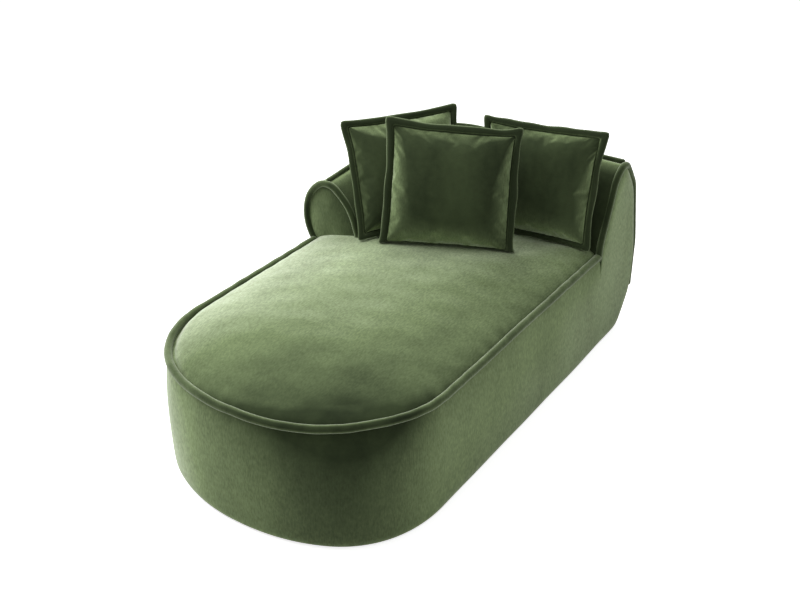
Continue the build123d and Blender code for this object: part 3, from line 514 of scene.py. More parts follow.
@dataclass(frozen=True)
class Plan:
    """Plan outline at the seat seam: straight sides and a nose of three arcs."""

    right: float = 0.46675
    left: float = -0.43163
    arm_side: float = 0.47463
    nose: float = -0.8475
    back: float = 0.854
    nose_corner: float = 0.372
    blend_angle: float = math.radians(62.0)
    rear_corner: float = 0.373
    heel: float = 0.160
    seam: float = 0.400
    hem: float = 0.006
    swell: float = 0.0125
    cheek: float = 0.012
    seam_out: float = 0.015
    seam_in: float = 0.010
    wall_top: float = 0.394
    nose_swell: float = 0.004
    belly: float = 0.004
    seam_ease: float = 0.052
    hem_turn: float = 0.009

    @property
    def middle(self) -> float:
        """X of the middle between the sides."""
        return 0.5 * (self.right + self.left)

    @property
    def half(self) -> float:
        """Half width between the sides."""
        return 0.5 * (self.right - self.left)

    @property
    def front_radius(self) -> float:
        """Radius of the nose's front arc."""
        return self.nose_corner + (self.half - self.nose_corner) / math.cos(self.blend_angle)

    @property
    def nose_start(self) -> float:
        """Where the straight sides end and the nose begins."""
        front = self.front_radius
        return self.nose + front - (front - self.nose_corner) * math.sin(self.blend_angle)

    def outline(self, right_end: float, left_end: float, wander: float = 1.0,
                step: float = 0.006) -> tuple[Array, Array]:
        """Outline from the right side round the nose to the left side.

        Args:
            right_end: Where it starts on the right side, along Y.
            left_end: Where it stops on the left side, along Y.
            wander: Share of the seam's wander that it follows.
            step: Rough spacing of the points.

        Returns:
            The points in plan, and the outward direction at each of them.
        """
        start = self.nose_start
        heading = np.linspace(0.0, -math.pi, int(math.pi * 0.45 / step))
        aim = np.stack([np.cos(heading), np.sin(heading)], axis=1)
        front = np.abs(np.cos(heading)) < math.cos(self.blend_angle)
        reach = np.where(front, self.front_radius, self.nose_corner)
        corner_x = np.sign(np.cos(heading)) * (self.half - self.nose_corner)
        middle_x = self.middle + np.where(front, 0.0, corner_x)
        middle_y = np.where(front, self.nose + self.front_radius, start)
        nose = np.stack([middle_x, middle_y], axis=1) + aim * reach[:, None]
        right_y = np.linspace(right_end, start, max(int((right_end - start) / step), 2))[:-1]
        left_y = np.linspace(start, left_end, max(int((left_end - start) / step), 2))[1:]
        right = np.stack([np.full_like(right_y, self.right), right_y], axis=1)
        left = np.stack([np.full_like(left_y, self.left), left_y], axis=1)
        points = np.vstack([right, nose, left])
        out = np.vstack([np.tile([1.0, 0.0], (len(right), 1)), aim, np.tile([-1.0, 0.0], (len(left), 1))])
        return points + out * (wander * self.lean(out))[:, None], out

    def depth(self, x: Array, y: Array) -> Array:
        """Distance in from the sides and the nose.

        Args:
            x: Places along X.
            y: Places along Y.

        Returns:
            Distance inside the outline, negative outside it.
        """
        aside = np.abs(x - self.middle)
        past = np.maximum(aside - self.half + self.nose_corner, 0.0)
        into_nose = np.maximum(self.nose_start - y, 0.0)
        corner = self.nose_corner - np.hypot(past, into_nose)
        front = self.front_radius - np.hypot(aside, self.nose + self.front_radius - y)
        steep = np.arctan2(into_nose, np.maximum(past, TINY))
        in_nose = np.where(steep > self.blend_angle, front, corner)
        return np.where(into_nose > 0.0, in_nose, self.half - aside)

    def lean(self, out: Array) -> Array:
        """How far the seam wanders off the plain outline: out on the left of the nose, in on its right.

        Args:
            out: Outward direction in plan at each point.

        Returns:
            Distance outwards.
        """
        left = limited(-out[:, 0]) * limited(-out[:, 1])
        right = limited(out[:, 0]) * limited(-out[:, 1])
        return self.seam_out * 2.0 * left - self.seam_in * (2.0 * right) ** 2

    def reach(self, out: Array) -> Array:
        """How far the wall stands out below the seam: little on the sides, more on both cheeks of the nose.

        Args:
            out: Outward direction in plan at each point.

        Returns:
            Distance outwards.
        """
        cheek = (2.0 * out[:, 0] * limited(-out[:, 1])) ** 2
        left = limited(-out[:, 0])
        front = limited(-out[:, 1])
        return self.swell + self.cheek * cheek + self.nose_swell * left + self.nose_swell * front

    def bulge(self, height: Array, reach: Array, top: Array) -> Array:
        """Stand-out of the wall at a height: it eases from the seam to its reach and turns in at the hem.

        Args:
            height: Heights above the floor.
            reach: Full reach.
            top: Stand-out at the seam.

        Returns:
            Distance outwards.
        """
        seam = np.exp(-np.clip(self.wall_top - height, 0.0, None) / self.seam_ease)
        under = np.exp(-np.clip(height - self.hem, 0.0, None) / self.hem_turn)
        middle = self.belly * np.sin(limited(height / self.wall_top) * math.pi)
        return reach + (top - reach) * seam + middle - self.hem_turn * under


@dataclass(frozen=True)
class Wrap:
    """Backrest that turns the rear left corner and runs forward as the arm."""

    plan: Plan = Plan()
    arm_front: float = 0.116
    arm_cover_front: float = 0.1165
    right_end: float = 0.4552
    back_corners: tuple[tuple[float, float], ...] = (
        (0.313, 0.440), (0.225, 0.666), (0.150, 0.706), (0.060, 0.594), (0.0, 0.345))
    back_radii: tuple[float, ...] = (0.200, 0.100, 0.050, 0.150, 0.300)
    arm_corners: tuple[tuple[float, float], ...] = (
        (0.240, 0.446), (0.208, 0.559), (0.105, 0.652), (0.010, 0.574), (0.0, 0.450), (0.043, 0.380))
    arm_radii: tuple[float, ...] = (0.150, 0.200, 0.070, 0.140, 0.165, 0.080)
    inner_foot: float = 0.392
    inner_steps: int = 56
    outer_steps: int = 96
    pad: float = 0.004
    ridge_pull: float = 0.0035
    wall_start: float = 0.365
    wall_ease: float = 0.09
    side_fade: float = 0.35
    side_past: float = 0.1
    edge_roll: float = 0.007
    wander: float = 0.0012
    face_foot: float = 0.390
    face_proud: float = 0.003
    face_wander: float = 0.0008
    face_inset: float = 0.008
    face_crown: float = 0.010
    face_middle: tuple[float, float] = (0.125, 0.48)
    cord_inset: float = 0.006
    cord_radius: float = 0.012
    ridge_radius: float = 0.0085
    ridge_lift: float = 0.0045
    ridge_inset: float = 0.010

    @property
    def corner_x(self) -> float:
        """X of the upright axis of the corner."""
        return self.plan.rear_corner - self.plan.arm_side

    @property
    def corner_y(self) -> float:
        """Y of the upright axis of the corner."""
        return self.plan.back - self.plan.rear_corner

    def section(self, line: Array, radii: tuple, inset: float = 0.0) -> tuple[Array, Array]:
        """Rounded section as an inner run up to the ridge and an outer run down from it.

        Args:
            line: Depth and height of the section's corners, from its inner foot to its outer one.
            radii: Rounding of the corners.
            inset: How far the whole line moves inward.

        Returns:
            The inner run and the outer run, as depth and height.
        """
        moved = moved_line(line, inset)
        rounded = rounded_path(moved, np.array(radii) - inset)
        ridge = 1 + ARC_STEPS * 2 + ARC_STEPS // 2
        return rounded[: ridge + 1], rounded[ridge:]

    def back_line(self, base: float, foot: Optional[float] = None) -> Array:
        """Corners of the back's section with its feet."""
        corners = self.back_corners
        foot = self.inner_foot if foot is None else foot
        return np.array([(corners[0][0], foot), *corners, (corners[-1][0], base)])

    def arm_line(self, base: float) -> Array:
        """Corners of the arm's section with its feet."""
        corners = self.arm_corners
        return np.array([(corners[0][0], self.inner_foot), *corners, (corners[-1][0], base)])

    def face_line(self, foot: float) -> Array:
        """Corners of the arm's face, whose outer side stops on the way in to the base."""
        waist, tuck = self.arm_corners[-2], self.arm_corners[-1]
        share = (waist[1] - foot) / (waist[1] - tuck[1])
        end = (waist[0] + share * (tuck[0] - waist[0]), foot)
        return np.array([(self.arm_corners[0][0], foot), *self.arm_corners[:-1], end])

    def columns(self, line: Array, radii: tuple) -> Array:
        """Evenly spaced points of a section, with the ridge at the same place in every section."""
        inner, outer = self.section(line, radii)
        return np.vstack([resample(inner, self.inner_steps), resample(outer, self.outer_steps)[1:]])

    def rim(self, line: Array, radii: tuple, inset: float, count: int) -> Array:
        """Evenly spaced points of a line just inside a section's edge."""
        inner, outer = self.section(line, radii, inset)
        return resample(np.vstack([inner, outer[1:]]), count)

    def surface(self) -> Array:
        """Whole wrap: the arm's section slides into the back's, turns the corner and runs to the right end.

        Returns:
            Grid of points, stations by section points.
        """
        back = self.columns(self.back_line(self.plan.hem), self.back_radii)
        arm = self.columns(self.arm_line(self.plan.hem), self.arm_radii)
        share = np.linspace(0.0, 1.0, 46)[:-1]
        slide = share[:, None, None] * back + (1.0 - share[:, None, None]) * arm
        along = self.arm_cover_front + (self.corner_y - self.arm_cover_front) * share
        arm_part = spread_points(slide[..., 0] - self.plan.arm_side, along[:, None], slide[..., 1])
        turn = np.linspace(math.pi, math.pi / 2, 60)[:-1, None]
        reach = self.plan.rear_corner - back[:, 0]
        corner_part = spread_points(
            self.corner_x + np.cos(turn) * reach, self.corner_y + np.sin(turn) * reach, back[:, 1])
        run = np.linspace(self.corner_x, self.right_end, 70)[:, None]
        back_part = spread_points(run, self.plan.back - back[:, 0], back[:, 1])
        return np.concatenate([arm_part, corner_part, back_part])

    def rolled_edge(self, last: Array) -> Array:
        """Roll the right edge of the cover over to the flat side: a quarter turn out along X and inward.

        Args:
            last: Points of the cover's last station.

        Returns:
            Further stations, which end at the edge of the flat side.
        """
        along = np.gradient(last, axis=0)
        inward = unit(spread_points(0.0, along[:, 2], -along[:, 1]))
        roll = np.linspace(0.0, math.pi / 2, 7)[1:, None, None]
        aside = np.array([self.plan.right - self.right_end, 0.0, 0.0])
        return last + aside * np.sin(roll) + inward * self.edge_roll * (1.0 - np.cos(roll))

    def build(self, finish: Material) -> None:
        """Build the wrapped cover, softened by a slight swell and pulled in along the ridge seam.

        Args:
            finish: Velvet of the cover.
        """
        points = self.surface()
        ridge = self.inner_steps - 1
        out = unit(np.cross(np.gradient(points, axis=0), np.gradient(points, axis=1)))
        number = np.arange(points.shape[1])
        pad = self.pad * np.sin(limited(number / ridge) * math.pi) ** 1.2
        seam = self.ridge_pull * np.exp(-(((number - ridge) / 2.2) ** 2))
        outer = (number > ridge).astype(float)
        fade = limited((self.corner_y + self.side_past - points[..., 1]) / self.side_fade)
        side = np.where(points[..., 0] < self.corner_x, fade, 0.0) * outer
        below = limited((self.wall_start - points[..., 2]) / self.wall_ease)
        reach = self.plan.swell + self.plan.nose_swell
        wall = self.plan.bulge(points[..., 2], reach, 0.0) * side * ease(below)
        wander = self.wander * ripple(points, 0.16, 11)
        points = points + out * ((pad - seam)[None, :] + wall + wander)[..., None]
        heel = self.plan.heel
        low = np.clip(heel - points[..., 2], 0.0, heel)
        points[..., 1] = np.minimum(points[..., 1], self.plan.back - heel + np.sqrt(heel**2 - low**2))
        piece = grid_piece("back_wrap", np.concatenate([points, self.rolled_edge(points[-1])]))
        dress(piece, finish, Slot.VELVET, Body.CHAISE, "inside_back", "inside_corner", "inside_arm",
              "outside_back", "outside_corner", "outside_arm", "back_foam", "corner_foam", "arm_foam",
              "rear_border_foam")

    def build_face(self, finish: Material) -> None:
        """Build the arched face of the arm: rings from its edge to its middle, crowned towards the front.

        Args:
            finish: Velvet of the face.
        """
        edge = self.rim(self.face_line(self.face_foot), self.arm_radii[:-1], self.face_inset, 150)
        edge = np.vstack([edge, np.linspace(edge[-1], edge[0], 40)[1:-1]])
        share = np.linspace(0.0, 1.0, 26)[:, None, None]
        flat = edge[None] * (1.0 - share) + np.array(self.face_middle) * share
        crown = self.face_crown * (1.0 - (1.0 - share[..., 0]) ** 2.2)
        front = self.arm_front + self.face_proud - crown
        points = spread_points(flat[..., 0] - self.plan.arm_side, front, flat[..., 1])
        points[..., 1] -= self.face_wander * ripple(points, 0.09, 21)
        piece = grid_piece("arm_face", points[:, ::-1], round_columns=True)
        dress(piece, finish, Slot.VELVET, Body.CHAISE, "arm_front_panel", "arm_face_foam")

    def build_piping(self, finish: Material) -> None:
        """Build the ridge cord, the cord round the arm's face and the cord round the upright end.

        Args:
            finish: Velvet of the cords.
        """
        base = 0.3
        back = self.section(self.back_line(base), self.back_radii)[0][-1]
        arm = self.section(self.arm_line(base), self.arm_radii)[0][-1]
        turn = np.linspace(math.pi, math.pi / 2, 50)
        reach = self.plan.rear_corner - back[0]
        top = back[1] + self.ridge_lift
        front = [[arm[0] - self.plan.arm_side, self.arm_front + self.ridge_inset, arm[1] + self.ridge_lift]]
        turn_x, turn_y = self.corner_x + np.cos(turn) * reach, self.corner_y + np.sin(turn) * reach
        corner = spread_points(turn_x, turn_y, top)
        end = [[self.right_end, self.plan.back - back[0], top]]
        ridge_path = resample(np.vstack([front, corner, end]), 260)
        flat = self.rim(self.face_line(self.inner_foot), self.arm_radii[:-1], self.cord_inset, 220)
        arm_path = spread_points(flat[:, 0] - self.plan.arm_side, self.arm_front, flat[:, 1])
        flat = self.rim(self.back_line(self.plan.heel), self.back_radii, self.cord_inset, 330)
        end_path = spread_points(self.plan.right, self.plan.back - flat[:, 0], flat[:, 1])
        cords = (("ridge_cord", ridge_path, (0.0, 0.0, 1.0), self.ridge_radius, "ridge_piping"),
                 ("arm_cord", arm_path, (0.0, -1.0, 0.0), self.cord_radius, "arm_piping"),
                 ("end_cord", end_path, (1.0, 0.0, 0.0), self.cord_radius, "end_piping"))
        for name, path, aside, radius, node in cords:
            cord = tube_piece(name, path, np.tile(aside, (len(path), 1)), radius)
            dress(cord, finish, Slot.EDGE, Body.CHAISE, node)


def moved_line(line: Array, inset: float) -> Array:
    """Move an open polyline to its left by inset, keeping its corners sharp.

    Args:
        line: Points of the polyline in two dimensions.
        inset: Distance.

    Returns:
        The moved points.
    """
    run = unit(np.diff(line, axis=0))
    side = np.stack([-run[:, 1], run[:, 0]], axis=1)
    before = np.vstack([side[:1], side])
    after = np.vstack([side, side[-1:]])
    middle = before + after
    return line + inset * 2.0 * middle / (middle**2).sum(axis=1, keepdims=True)


@dataclass(frozen=True)
class SeatPad:
    """Crowned seat between the piping, the arm and the back."""

    plan: Plan = Plan()
    crown: float = 0.088
    side_fall: float = 0.200
    rear_crown: float = 0.066
    rear_fall: float = 0.240
    rear_start: float = 0.250
    roll: float = 0.013
    roll_fall: float = 0.011
    edge_inset: float = 0.004
    sunk: float = 0.006
    rear: float = 0.585
    spine_end: float = 0.42
    crease: float = 0.003
    hollow: float = 0.0045
    dimple: float = 0.0009
    pull: float = 0.0016
    cord_radius: float = 0.0125
    cord_right: float = 0.538
    cord_left: float = 0.104
    cord_wave: float = 0.0022
    cord_waver: float = 0.0012

    def height(self, x: Array, y: Array) -> Array:
        """Height of the seat: it rises from the seam and from the back as two curves, the lower one ruling.

        Args:
            x: Places along X.
            y: Places along Y.

        Returns:
            Height above the floor.
        """
        inside = np.maximum(self.plan.depth(x, y) - self.edge_inset, 0.0)
        from_side = self.crown * (1.0 - np.exp(-inside / self.side_fall))
        behind = np.maximum(self.plan.back - y - self.rear_start, 0.0)
        from_back = self.rear_crown * (1.0 - np.exp(-behind / self.rear_fall)) + self.sunk
        rolled = self.roll * (1.0 - np.exp(-inside / self.roll_fall))
        return self.plan.seam - self.sunk + rolled + soft_least(from_side, from_back, self.crease)

    def build(self, finish: Material) -> None:
        """Build the seat: lines from the seam in to the seat's middle line, at the height of the crown.

        Args:
            finish: Velvet of the seat.
        """
        rear = self.rear
        seam, out = self.plan.outline(rear, rear)
        seam = seam - out * self.edge_inset
        rear_x = np.linspace(self.plan.left, self.plan.right, 150)[1:-1]
        seam = np.vstack([seam, np.stack([rear_x, np.full_like(rear_x, rear)], axis=1)])
        spine_y = np.clip(seam[:, 1], self.plan.nose + self.spine_end, rear - self.spine_end)
        spine = np.stack([np.full(len(seam), self.plan.middle), spine_y], axis=1)
        share = (np.linspace(0.0, 1.0, 100) ** 1.9)[:, None, None]
        flat = seam[None] * (1.0 - share) + spine[None] * share
        x, y = flat[..., 0], flat[..., 1]
        inside = share[..., 0] * np.linalg.norm(seam - spine, axis=1)
        place = spread_points(x, y, self.height(x, y))
        hollow = self.hollow * ripple(place, 0.62, 3) + self.dimple * ripple(place, 0.13, 4)
        pull = self.pull * ripple(place, 0.07, 6) * np.exp(-inside / 0.035)
        place[..., 2] += hollow * limited(inside / 0.06) + pull * limited(inside / 0.012)
        skirt = place[:1].copy()
        skirt[..., 2] = self.plan.seam - 2.0 * self.sunk
        piece = grid_piece("seat_pad", np.concatenate([skirt, place]), round_columns=True)
        dress(piece, finish, Slot.VELVET, Body.CHAISE, "seat_cover", "seat_topper")

    def build_piping(self, finish: Material) -> None:
        """Build the thick cord along the seat seam.

        Args:
            finish: Velvet of the cord.
        """
        seam, out = self.plan.outline(self.cord_right, self.cord_left)
        path = resample(np.column_stack([seam, np.full(len(seam), self.plan.seam)]), 620)
        even = np.linspace(0.0, 1.0, len(path))
        first = np.linspace(0.0, 1.0, len(out))
        aside = spread_points(np.interp(even, first, out[:, 0]), np.interp(even, first, out[:, 1]), 0.0)
        path[:, 2] += self.cord_wave * ripple(path, 0.36, 8) + self.cord_waver * ripple(path, 0.10, 9)
        cord = tube_piece("seat_cord", path, aside, self.cord_radius, 26)
        dress(cord, finish, Slot.EDGE, Body.CHAISE, "seat_piping")


@dataclass(frozen=True)
class BaseWall:
    """Velvet wall round the nose and the left side that runs on as the flat side with its upright end."""

    plan: Plan = Plan()
    wrap: Wrap = Wrap()
    rows: int = 76
    left_end: float = 0.1185
    leaf_depth: float = 0.306
    leaf_inset: float = 0.007
    leaf_level: float = 0.2
    leaf_start: float = 0.45
    leaf_blend: float = 0.14
    rounding: float = 0.020
    heel_blend: float = 0.06
    flat_start: float = 0.25
    flat_run: float = 0.5
    flat_loss: float = 0.006
    wander: float = 0.0013

    def leaf(self) -> tuple[Array, Array]:
        """Upper and lower line of the flat side's upright end, from its front to its foot at the heel.

        Returns:
            The line along the back's section, and the line along the floor and round the heel.
        """
        plan, wrap, inset = self.plan, self.wrap, self.leaf_inset
        inner, outer = wrap.section(wrap.back_line(plan.heel, plan.wall_top), wrap.back_radii, inset)
        edge = np.vstack([resample(inner, 70), resample(outer, 90)[1:]])
        bend = np.linspace(0.0, math.pi / 2, 60)
        reach = plan.heel - inset
        heel_line = np.stack([plan.heel - reach * np.sin(bend), plan.heel - reach * np.cos(bend)], axis=1)
        flat_line = np.array([[self.leaf_depth, inset], [plan.heel, inset]])
        foot = resample(np.vstack([flat_line, heel_line[1:]]), len(edge))
        upper = spread_points(plan.right, plan.back - edge[:, 0], edge[:, 1])
        return upper, spread_points(plan.right, plan.back - foot[:, 0], foot[:, 1])

    def build(self, finish: Material) -> None:
        """Build the wall as a ruled sheet from the hem line to the seam line, swelled out between them.

        Args:
            finish: Velvet of the wall.
        """
        seam, aim = self.plan.outline(self.plan.back - self.leaf_depth, self.left_end, 0.0)
        leaf_upper, leaf_lower = (line[::-1][:-1] for line in self.leaf())
        upper = np.vstack([leaf_upper, spread_points(seam[:, 0], seam[:, 1], self.plan.wall_top)])
        lower = np.vstack([leaf_lower, spread_points(seam[:, 0], seam[:, 1], self.plan.hem)])
        leaf_out = np.tile([1.0, 0.0, 0.0], (len(leaf_upper), 1))
        out = np.vstack([leaf_out, spread_points(aim[:, 0], aim[:, 1], 0.0)])
        on_leaf = (np.arange(len(upper)) < len(leaf_upper))[:, None]
        on_flat = out[:, :1] > 0.99
        bunch = np.linspace(0.0, 1.0, self.rows)
        share = (0.5 - 0.5 * np.cos(bunch * math.pi))[None, :, None] * 0.6 + bunch[None, :, None] * 0.4
        points = lower[:, None] * (1.0 - share) + upper[:, None] * share
        length = np.linalg.norm(upper - lower, axis=1)[:, None]
        from_foot = share[..., 0] * length
        from_edge = (1.0 - share[..., 0]) * length
        arch = limited((lower[:, 2:] - self.leaf_inset) / self.heel_blend)
        rounded = 1.0 - np.exp(-from_edge / self.rounding)
        rounded = rounded * (1.0 - arch * np.exp(-from_foot / self.rounding))
        back = limited((points[..., 1] - self.flat_start) / self.flat_run) * on_flat
        reach = self.plan.reach(out[:, :2])[:, None] - self.flat_loss * back
        top = self.plan.lean(out[:, :2])[:, None]
        wall = self.plan.bulge(points[..., 2], reach, top)
        near = limited((points[..., 1] - (self.plan.back - self.leaf_start)) / self.leaf_blend) * on_flat
        leaf_wall = self.plan.bulge(np.minimum(points[..., 2], self.leaf_level), reach, top) * rounded
        swell = np.where(on_leaf, leaf_wall, wall * (1.0 - near) + leaf_wall * near)
        wander = self.wander * ripple(points, 0.35, 31)
        points = points + out[:, None] * (swell + wander * rounded)[..., None]
        piece = grid_piece("base_wall", points[:, ::-1])
        dress(piece, finish, Slot.VELVET, Body.CHAISE, "border_cover", "side_panel", "border_foam",
              "side_foam")


@dataclass(frozen=True)
class Swell:
    """Cloth run that lets a filled cover swell under inner pressure."""

    pressure: float = 5.0
    cap: float = 0.014
    slack: float = 0.006
    stretch: float = 18.0
    shear: float = 6.0
    bend: float = 4.0
    mass: float = 0.25
    quality: int = 6
    frames: int = 20

    def run(self, piece: Piece) -> None:
        """Swell a closed piece as tight cloth with its flange held, and keep the result.

        Args:
            piece: The closed piece, with its flange marked.
        """
        mesh = piece.data
        mark = np.empty(len(mesh.vertices), dtype=np.float32)
        mesh.attributes[FLANGE_MARK].data.foreach_get("value", mark)
        start = read_points(mesh)
        group = piece.vertex_groups.new(name="held")
        group.add(np.flatnonzero(mark > 0.5).tolist(), 1.0, "REPLACE")
        cloth = piece.modifiers.new("swell", "CLOTH")
        settings = cloth.settings
        settings.quality = self.quality
        settings.mass = self.mass
        settings.tension_stiffness = self.stretch
        settings.compression_stiffness = self.stretch
        settings.shear_stiffness = self.shear
        settings.bending_stiffness = self.bend
        settings.vertex_group_mass = group.name
        settings.shrink_min = -self.slack
        settings.use_pressure = True
        settings.uniform_pressure_force = self.pressure
        settings.effector_weights.gravity = 0.0
        cloth.collision_settings.use_collision = False
        cloth.point_cache.frame_start = 1
        cloth.point_cache.frame_end = self.frames
        scene = bpy.context.scene
        for number in range(1, self.frames + 1):
            scene.frame_set(number)
        solved = piece.evaluated_get(bpy.context.evaluated_depsgraph_get())
        move = read_points(solved.data) - start
        far = np.linalg.norm(move, axis=1, keepdims=True)
        move *= np.minimum(1.0, self.cap / np.maximum(far, TINY))
        piece.modifiers.remove(cloth)
        piece.vertex_groups.remove(group)
        write_points(mesh, start + move)
        scene.frame_set(1)
        most = 1000.0 * float(np.linalg.norm(move, axis=1).max())
        LOG.info("%s swelled by up to %.1f mm", piece.name, most)


@dataclass(frozen=True)
class Cushion:
    """Loose square cushion with a thick flange round a crowned filling.

    Its slump is the shift of each corner across and up: top left, top right, low right and low left.
    """

    name: str
    body: Body
    node: str
    place: Triple
    turn: float
    lean: float
    roll: float
    seed: int
    slump: tuple[tuple[float, float], ...]
    back_fill: float = 1.0
    tuck: float = 0.0
    size: float = 0.430
    thickness: float = 0.128
    fill: float = 0.92
    flange: float = 0.024
    flange_half: float = 0.0072
    seam_gap: float = 0.0008
    draw_in: float = 0.012
    ear: float = 0.024
    waver: float = 0.0042
    flutter: float = 0.0035
    tuck_bend: float = 0.010
    clear: float = 0.002
    cells: int = 76
    flange_cells: int = 10

    @property
    def seam(self) -> float:
        """Where the flange begins, as a share of the way from the middle to the edge."""
        return 1.0 - 2.0 * self.flange / self.size

    def axes(self) -> Array:
        """Directions of the cushion: along its bottom edge, up its face, and out of its front."""
        turn, lean, roll = (math.radians(value) for value in (self.turn, self.lean, self.roll))
        along = np.array([math.cos(turn), math.sin(turn), 0.0])
        back = np.array([-math.sin(turn), math.cos(turn), 0.0])
        rise = back * math.sin(lean) + np.array([0.0, 0.0, math.cos(lean)])
        edge = along * math.cos(roll) + rise * math.sin(roll)
        front = np.cross(along, rise)
        return np.stack([edge, np.cross(front, edge), front])

    def slumped(self, wide: Array, tall: Array) -> Array:
        """Shift of the cushion as it gives under its own weight: the corners' shifts, blended in between.

        Args:
            wide: Places across, from -1 to 1.
            tall: Places up, from -1 to 1.

        Returns:
            Shift across and up at each place.
        """
        west, east = (0.5 - 0.5 * wide)[..., None], (0.5 + 0.5 * wide)[..., None]
        low, high = (0.5 - 0.5 * tall)[..., None], (0.5 + 0.5 * tall)[..., None]
        top_left, top_right, low_right, low_left = (np.array(corner) for corner in self.slump)
        return high * (west * top_left + east * top_right) + low * (east * low_right + west * low_left)

    def spread(self) -> Array:
        """Spacing of the grid from one edge to the other, close together in the flange."""
        bunch = 1.35
        band = np.linspace(-1.0, -self.seam, self.flange_cells + 1)[:-1]
        fill = np.sin(np.linspace(-1.0, 1.0, self.cells + 1) * bunch) / math.sin(bunch) * self.seam
        return np.concatenate([band, fill, -band[::-1]])

    def outline(self, wide: Array, tall: Array) -> Array:
        """Flat form: a square whose corners are rounded into ears and whose sides are drawn in.

        Each ring of the square has its corners carried onto arcs. The sides come in by the draw-in times one
        less the fourth power of the place along them, and the edge wavers.

        Args:
            wide: Places across, from -1 to 1.
            tall: Places up, from -1 to 1.

        Returns:
            Places across and up, in metres.
        """
        half = self.size / 2
        pull = self.draw_in / half
        ring = np.maximum(np.abs(wide), np.abs(tall))
        radius = self.ear / half * ring**8
        past_wide = np.maximum(np.abs(wide) - ring + radius, 0.0)
        past_tall = np.maximum(np.abs(tall) - ring + radius, 0.0)
        turned = np.maximum(past_wide, past_tall) / np.maximum(np.hypot(past_wide, past_tall), TINY)
        round_wide = np.sign(wide) * (np.abs(wide) - past_wide * (1.0 - turned))
        round_tall = np.sign(tall) * (np.abs(tall) - past_tall * (1.0 - turned))
        across = half * round_wide * (1.0 - pull * (1.0 - tall**4))
        up = half * round_tall * (1.0 - pull * (1.0 - wide**4))
        rim = self.waver * np.exp(-half * (1.0 - ring) / 0.030)
        path = spread_points(half * wide, half * tall, 0.0)
        across += rim * ripple(path, 0.13, self.seed) * np.abs(wide) ** 4
        up += rim * ripple(path, 0.13, self.seed + 20) * np.abs(tall) ** 4
        return np.stack([across, up], axis=-1)

    def panel(self) -> tuple[Array, Array]:
        """One face of the cushion: its flat form with a rounded flange and a crowned filling.

        The flange is a half ellipse across its width. The crown is one less the place to the power of 2.4,
        across times up, to the power of 0.55, so that it rises steeply from the seam.

        Returns:
            The face as across, up and out on a grid, and a mark that is 1 on the flange.
        """
        line = self.spread()
        wide, tall = np.meshgrid(line, line, indexing="ij")
        edge = self.size / 2 * (1.0 - np.maximum(np.abs(wide), np.abs(tall)))
        over = 1.0 - np.abs(np.clip(wide / self.seam, -1.0, 1.0)) ** 2.4
        rise = 1.0 - np.abs(np.clip(tall / self.seam, -1.0, 1.0)) ** 2.4
        crown = self.fill * self.thickness / 2 * (over * rise) ** 0.55
        band = limited(1.0 - ((self.flange / 2 - edge) / (self.flange / 2)) ** 2)
        on_flange = edge < self.flange + 1e-6
        out = self.seam_gap + np.where(on_flange, self.flange_half * np.sqrt(band), crown)
        out = np.where(edge < TINY, 0.0, out)
        flat = self.outline(wide, tall) + self.slumped(wide, tall)
        return np.concatenate([flat, out[..., None]], axis=-1), on_flange.astype(float)

    def build(self, finish: Material, seat: SeatPad) -> None:
        """Build both faces, let the filling swell as cloth with its flange held, and rest it on the seat.

        Args:
            finish: Velvet of the cushion.
            seat: Seat that it stands on.
        """
        front, mark = self.panel()
        rows = front.shape[0]
        back = front * np.array([1.0, 1.0, -1.0])
        back[..., 2] *= np.where(mark > 0.5, 1.0, self.back_fill)
        quads = grid_quads(np.arange(rows * rows).reshape(rows, rows))
        faces = np.vstack([quads, quads[:, ::-1] + rows * rows])
        local = np.vstack([front.reshape(-1, 3), back.reshape(-1, 3)])
        local[:, 1] += self.size / 2
        self.fold_under(local)
        marked = np.tile(mark.reshape(-1), 2)
        flat = spread_points(local[:, 0], local[:, 1], 0.0)
        local[:, 2] += self.flutter * ripple(flat, 0.14, self.seed + 40) * marked
        piece = faces_piece(self.name, np.array(self.place) + local @ self.axes(), faces, marked)
        Swell().run(piece)
        self.rest(piece, seat)
        dress(piece, finish, Slot.VELVET, self.body, f"cushion_{self.node}_cover",
              f"cushion_{self.node}_flange", f"cushion_{self.node}_insert")

    def fold_under(self, local: Array) -> None:
        """Fold the lower flange back under the filling: it turns about its seam, easing in over the bend.

        Args:
            local: Points of both faces as across, up and out, changed in place.
        """
        line = self.spread()
        half = self.size / 2
        below = np.tile(np.maximum(-line * half - (half - self.flange), 0.0), len(line) * 2)
        turn = math.radians(self.tuck) * ease(limited(below / self.tuck_bend))
        out = local[:, 2].copy()
        local[:, 1] += below * (1.0 - np.cos(turn)) + out * np.sin(turn)
        local[:, 2] = out * np.cos(turn) - below * np.sin(turn)

    def rest(self, piece: Piece, seat: SeatPad) -> None:
        """Flatten the cushion where it stands on the seat: no point stays under the seat's surface.

        Args:
            piece: The cushion.
            seat: Seat that it stands on.
        """
        points = read_points(piece.data)
        under = seat.height(points[:, 0], points[:, 1]) + self.clear - points[:, 2]
        points[:, 2] += self.clear * np.logaddexp(0.0, under / self.clear)
        write_points(piece.data, points)
        LOG.info("%s pressed by up to %.1f mm", piece.name, 1000.0 * float(np.maximum(under, 0.0).max()))


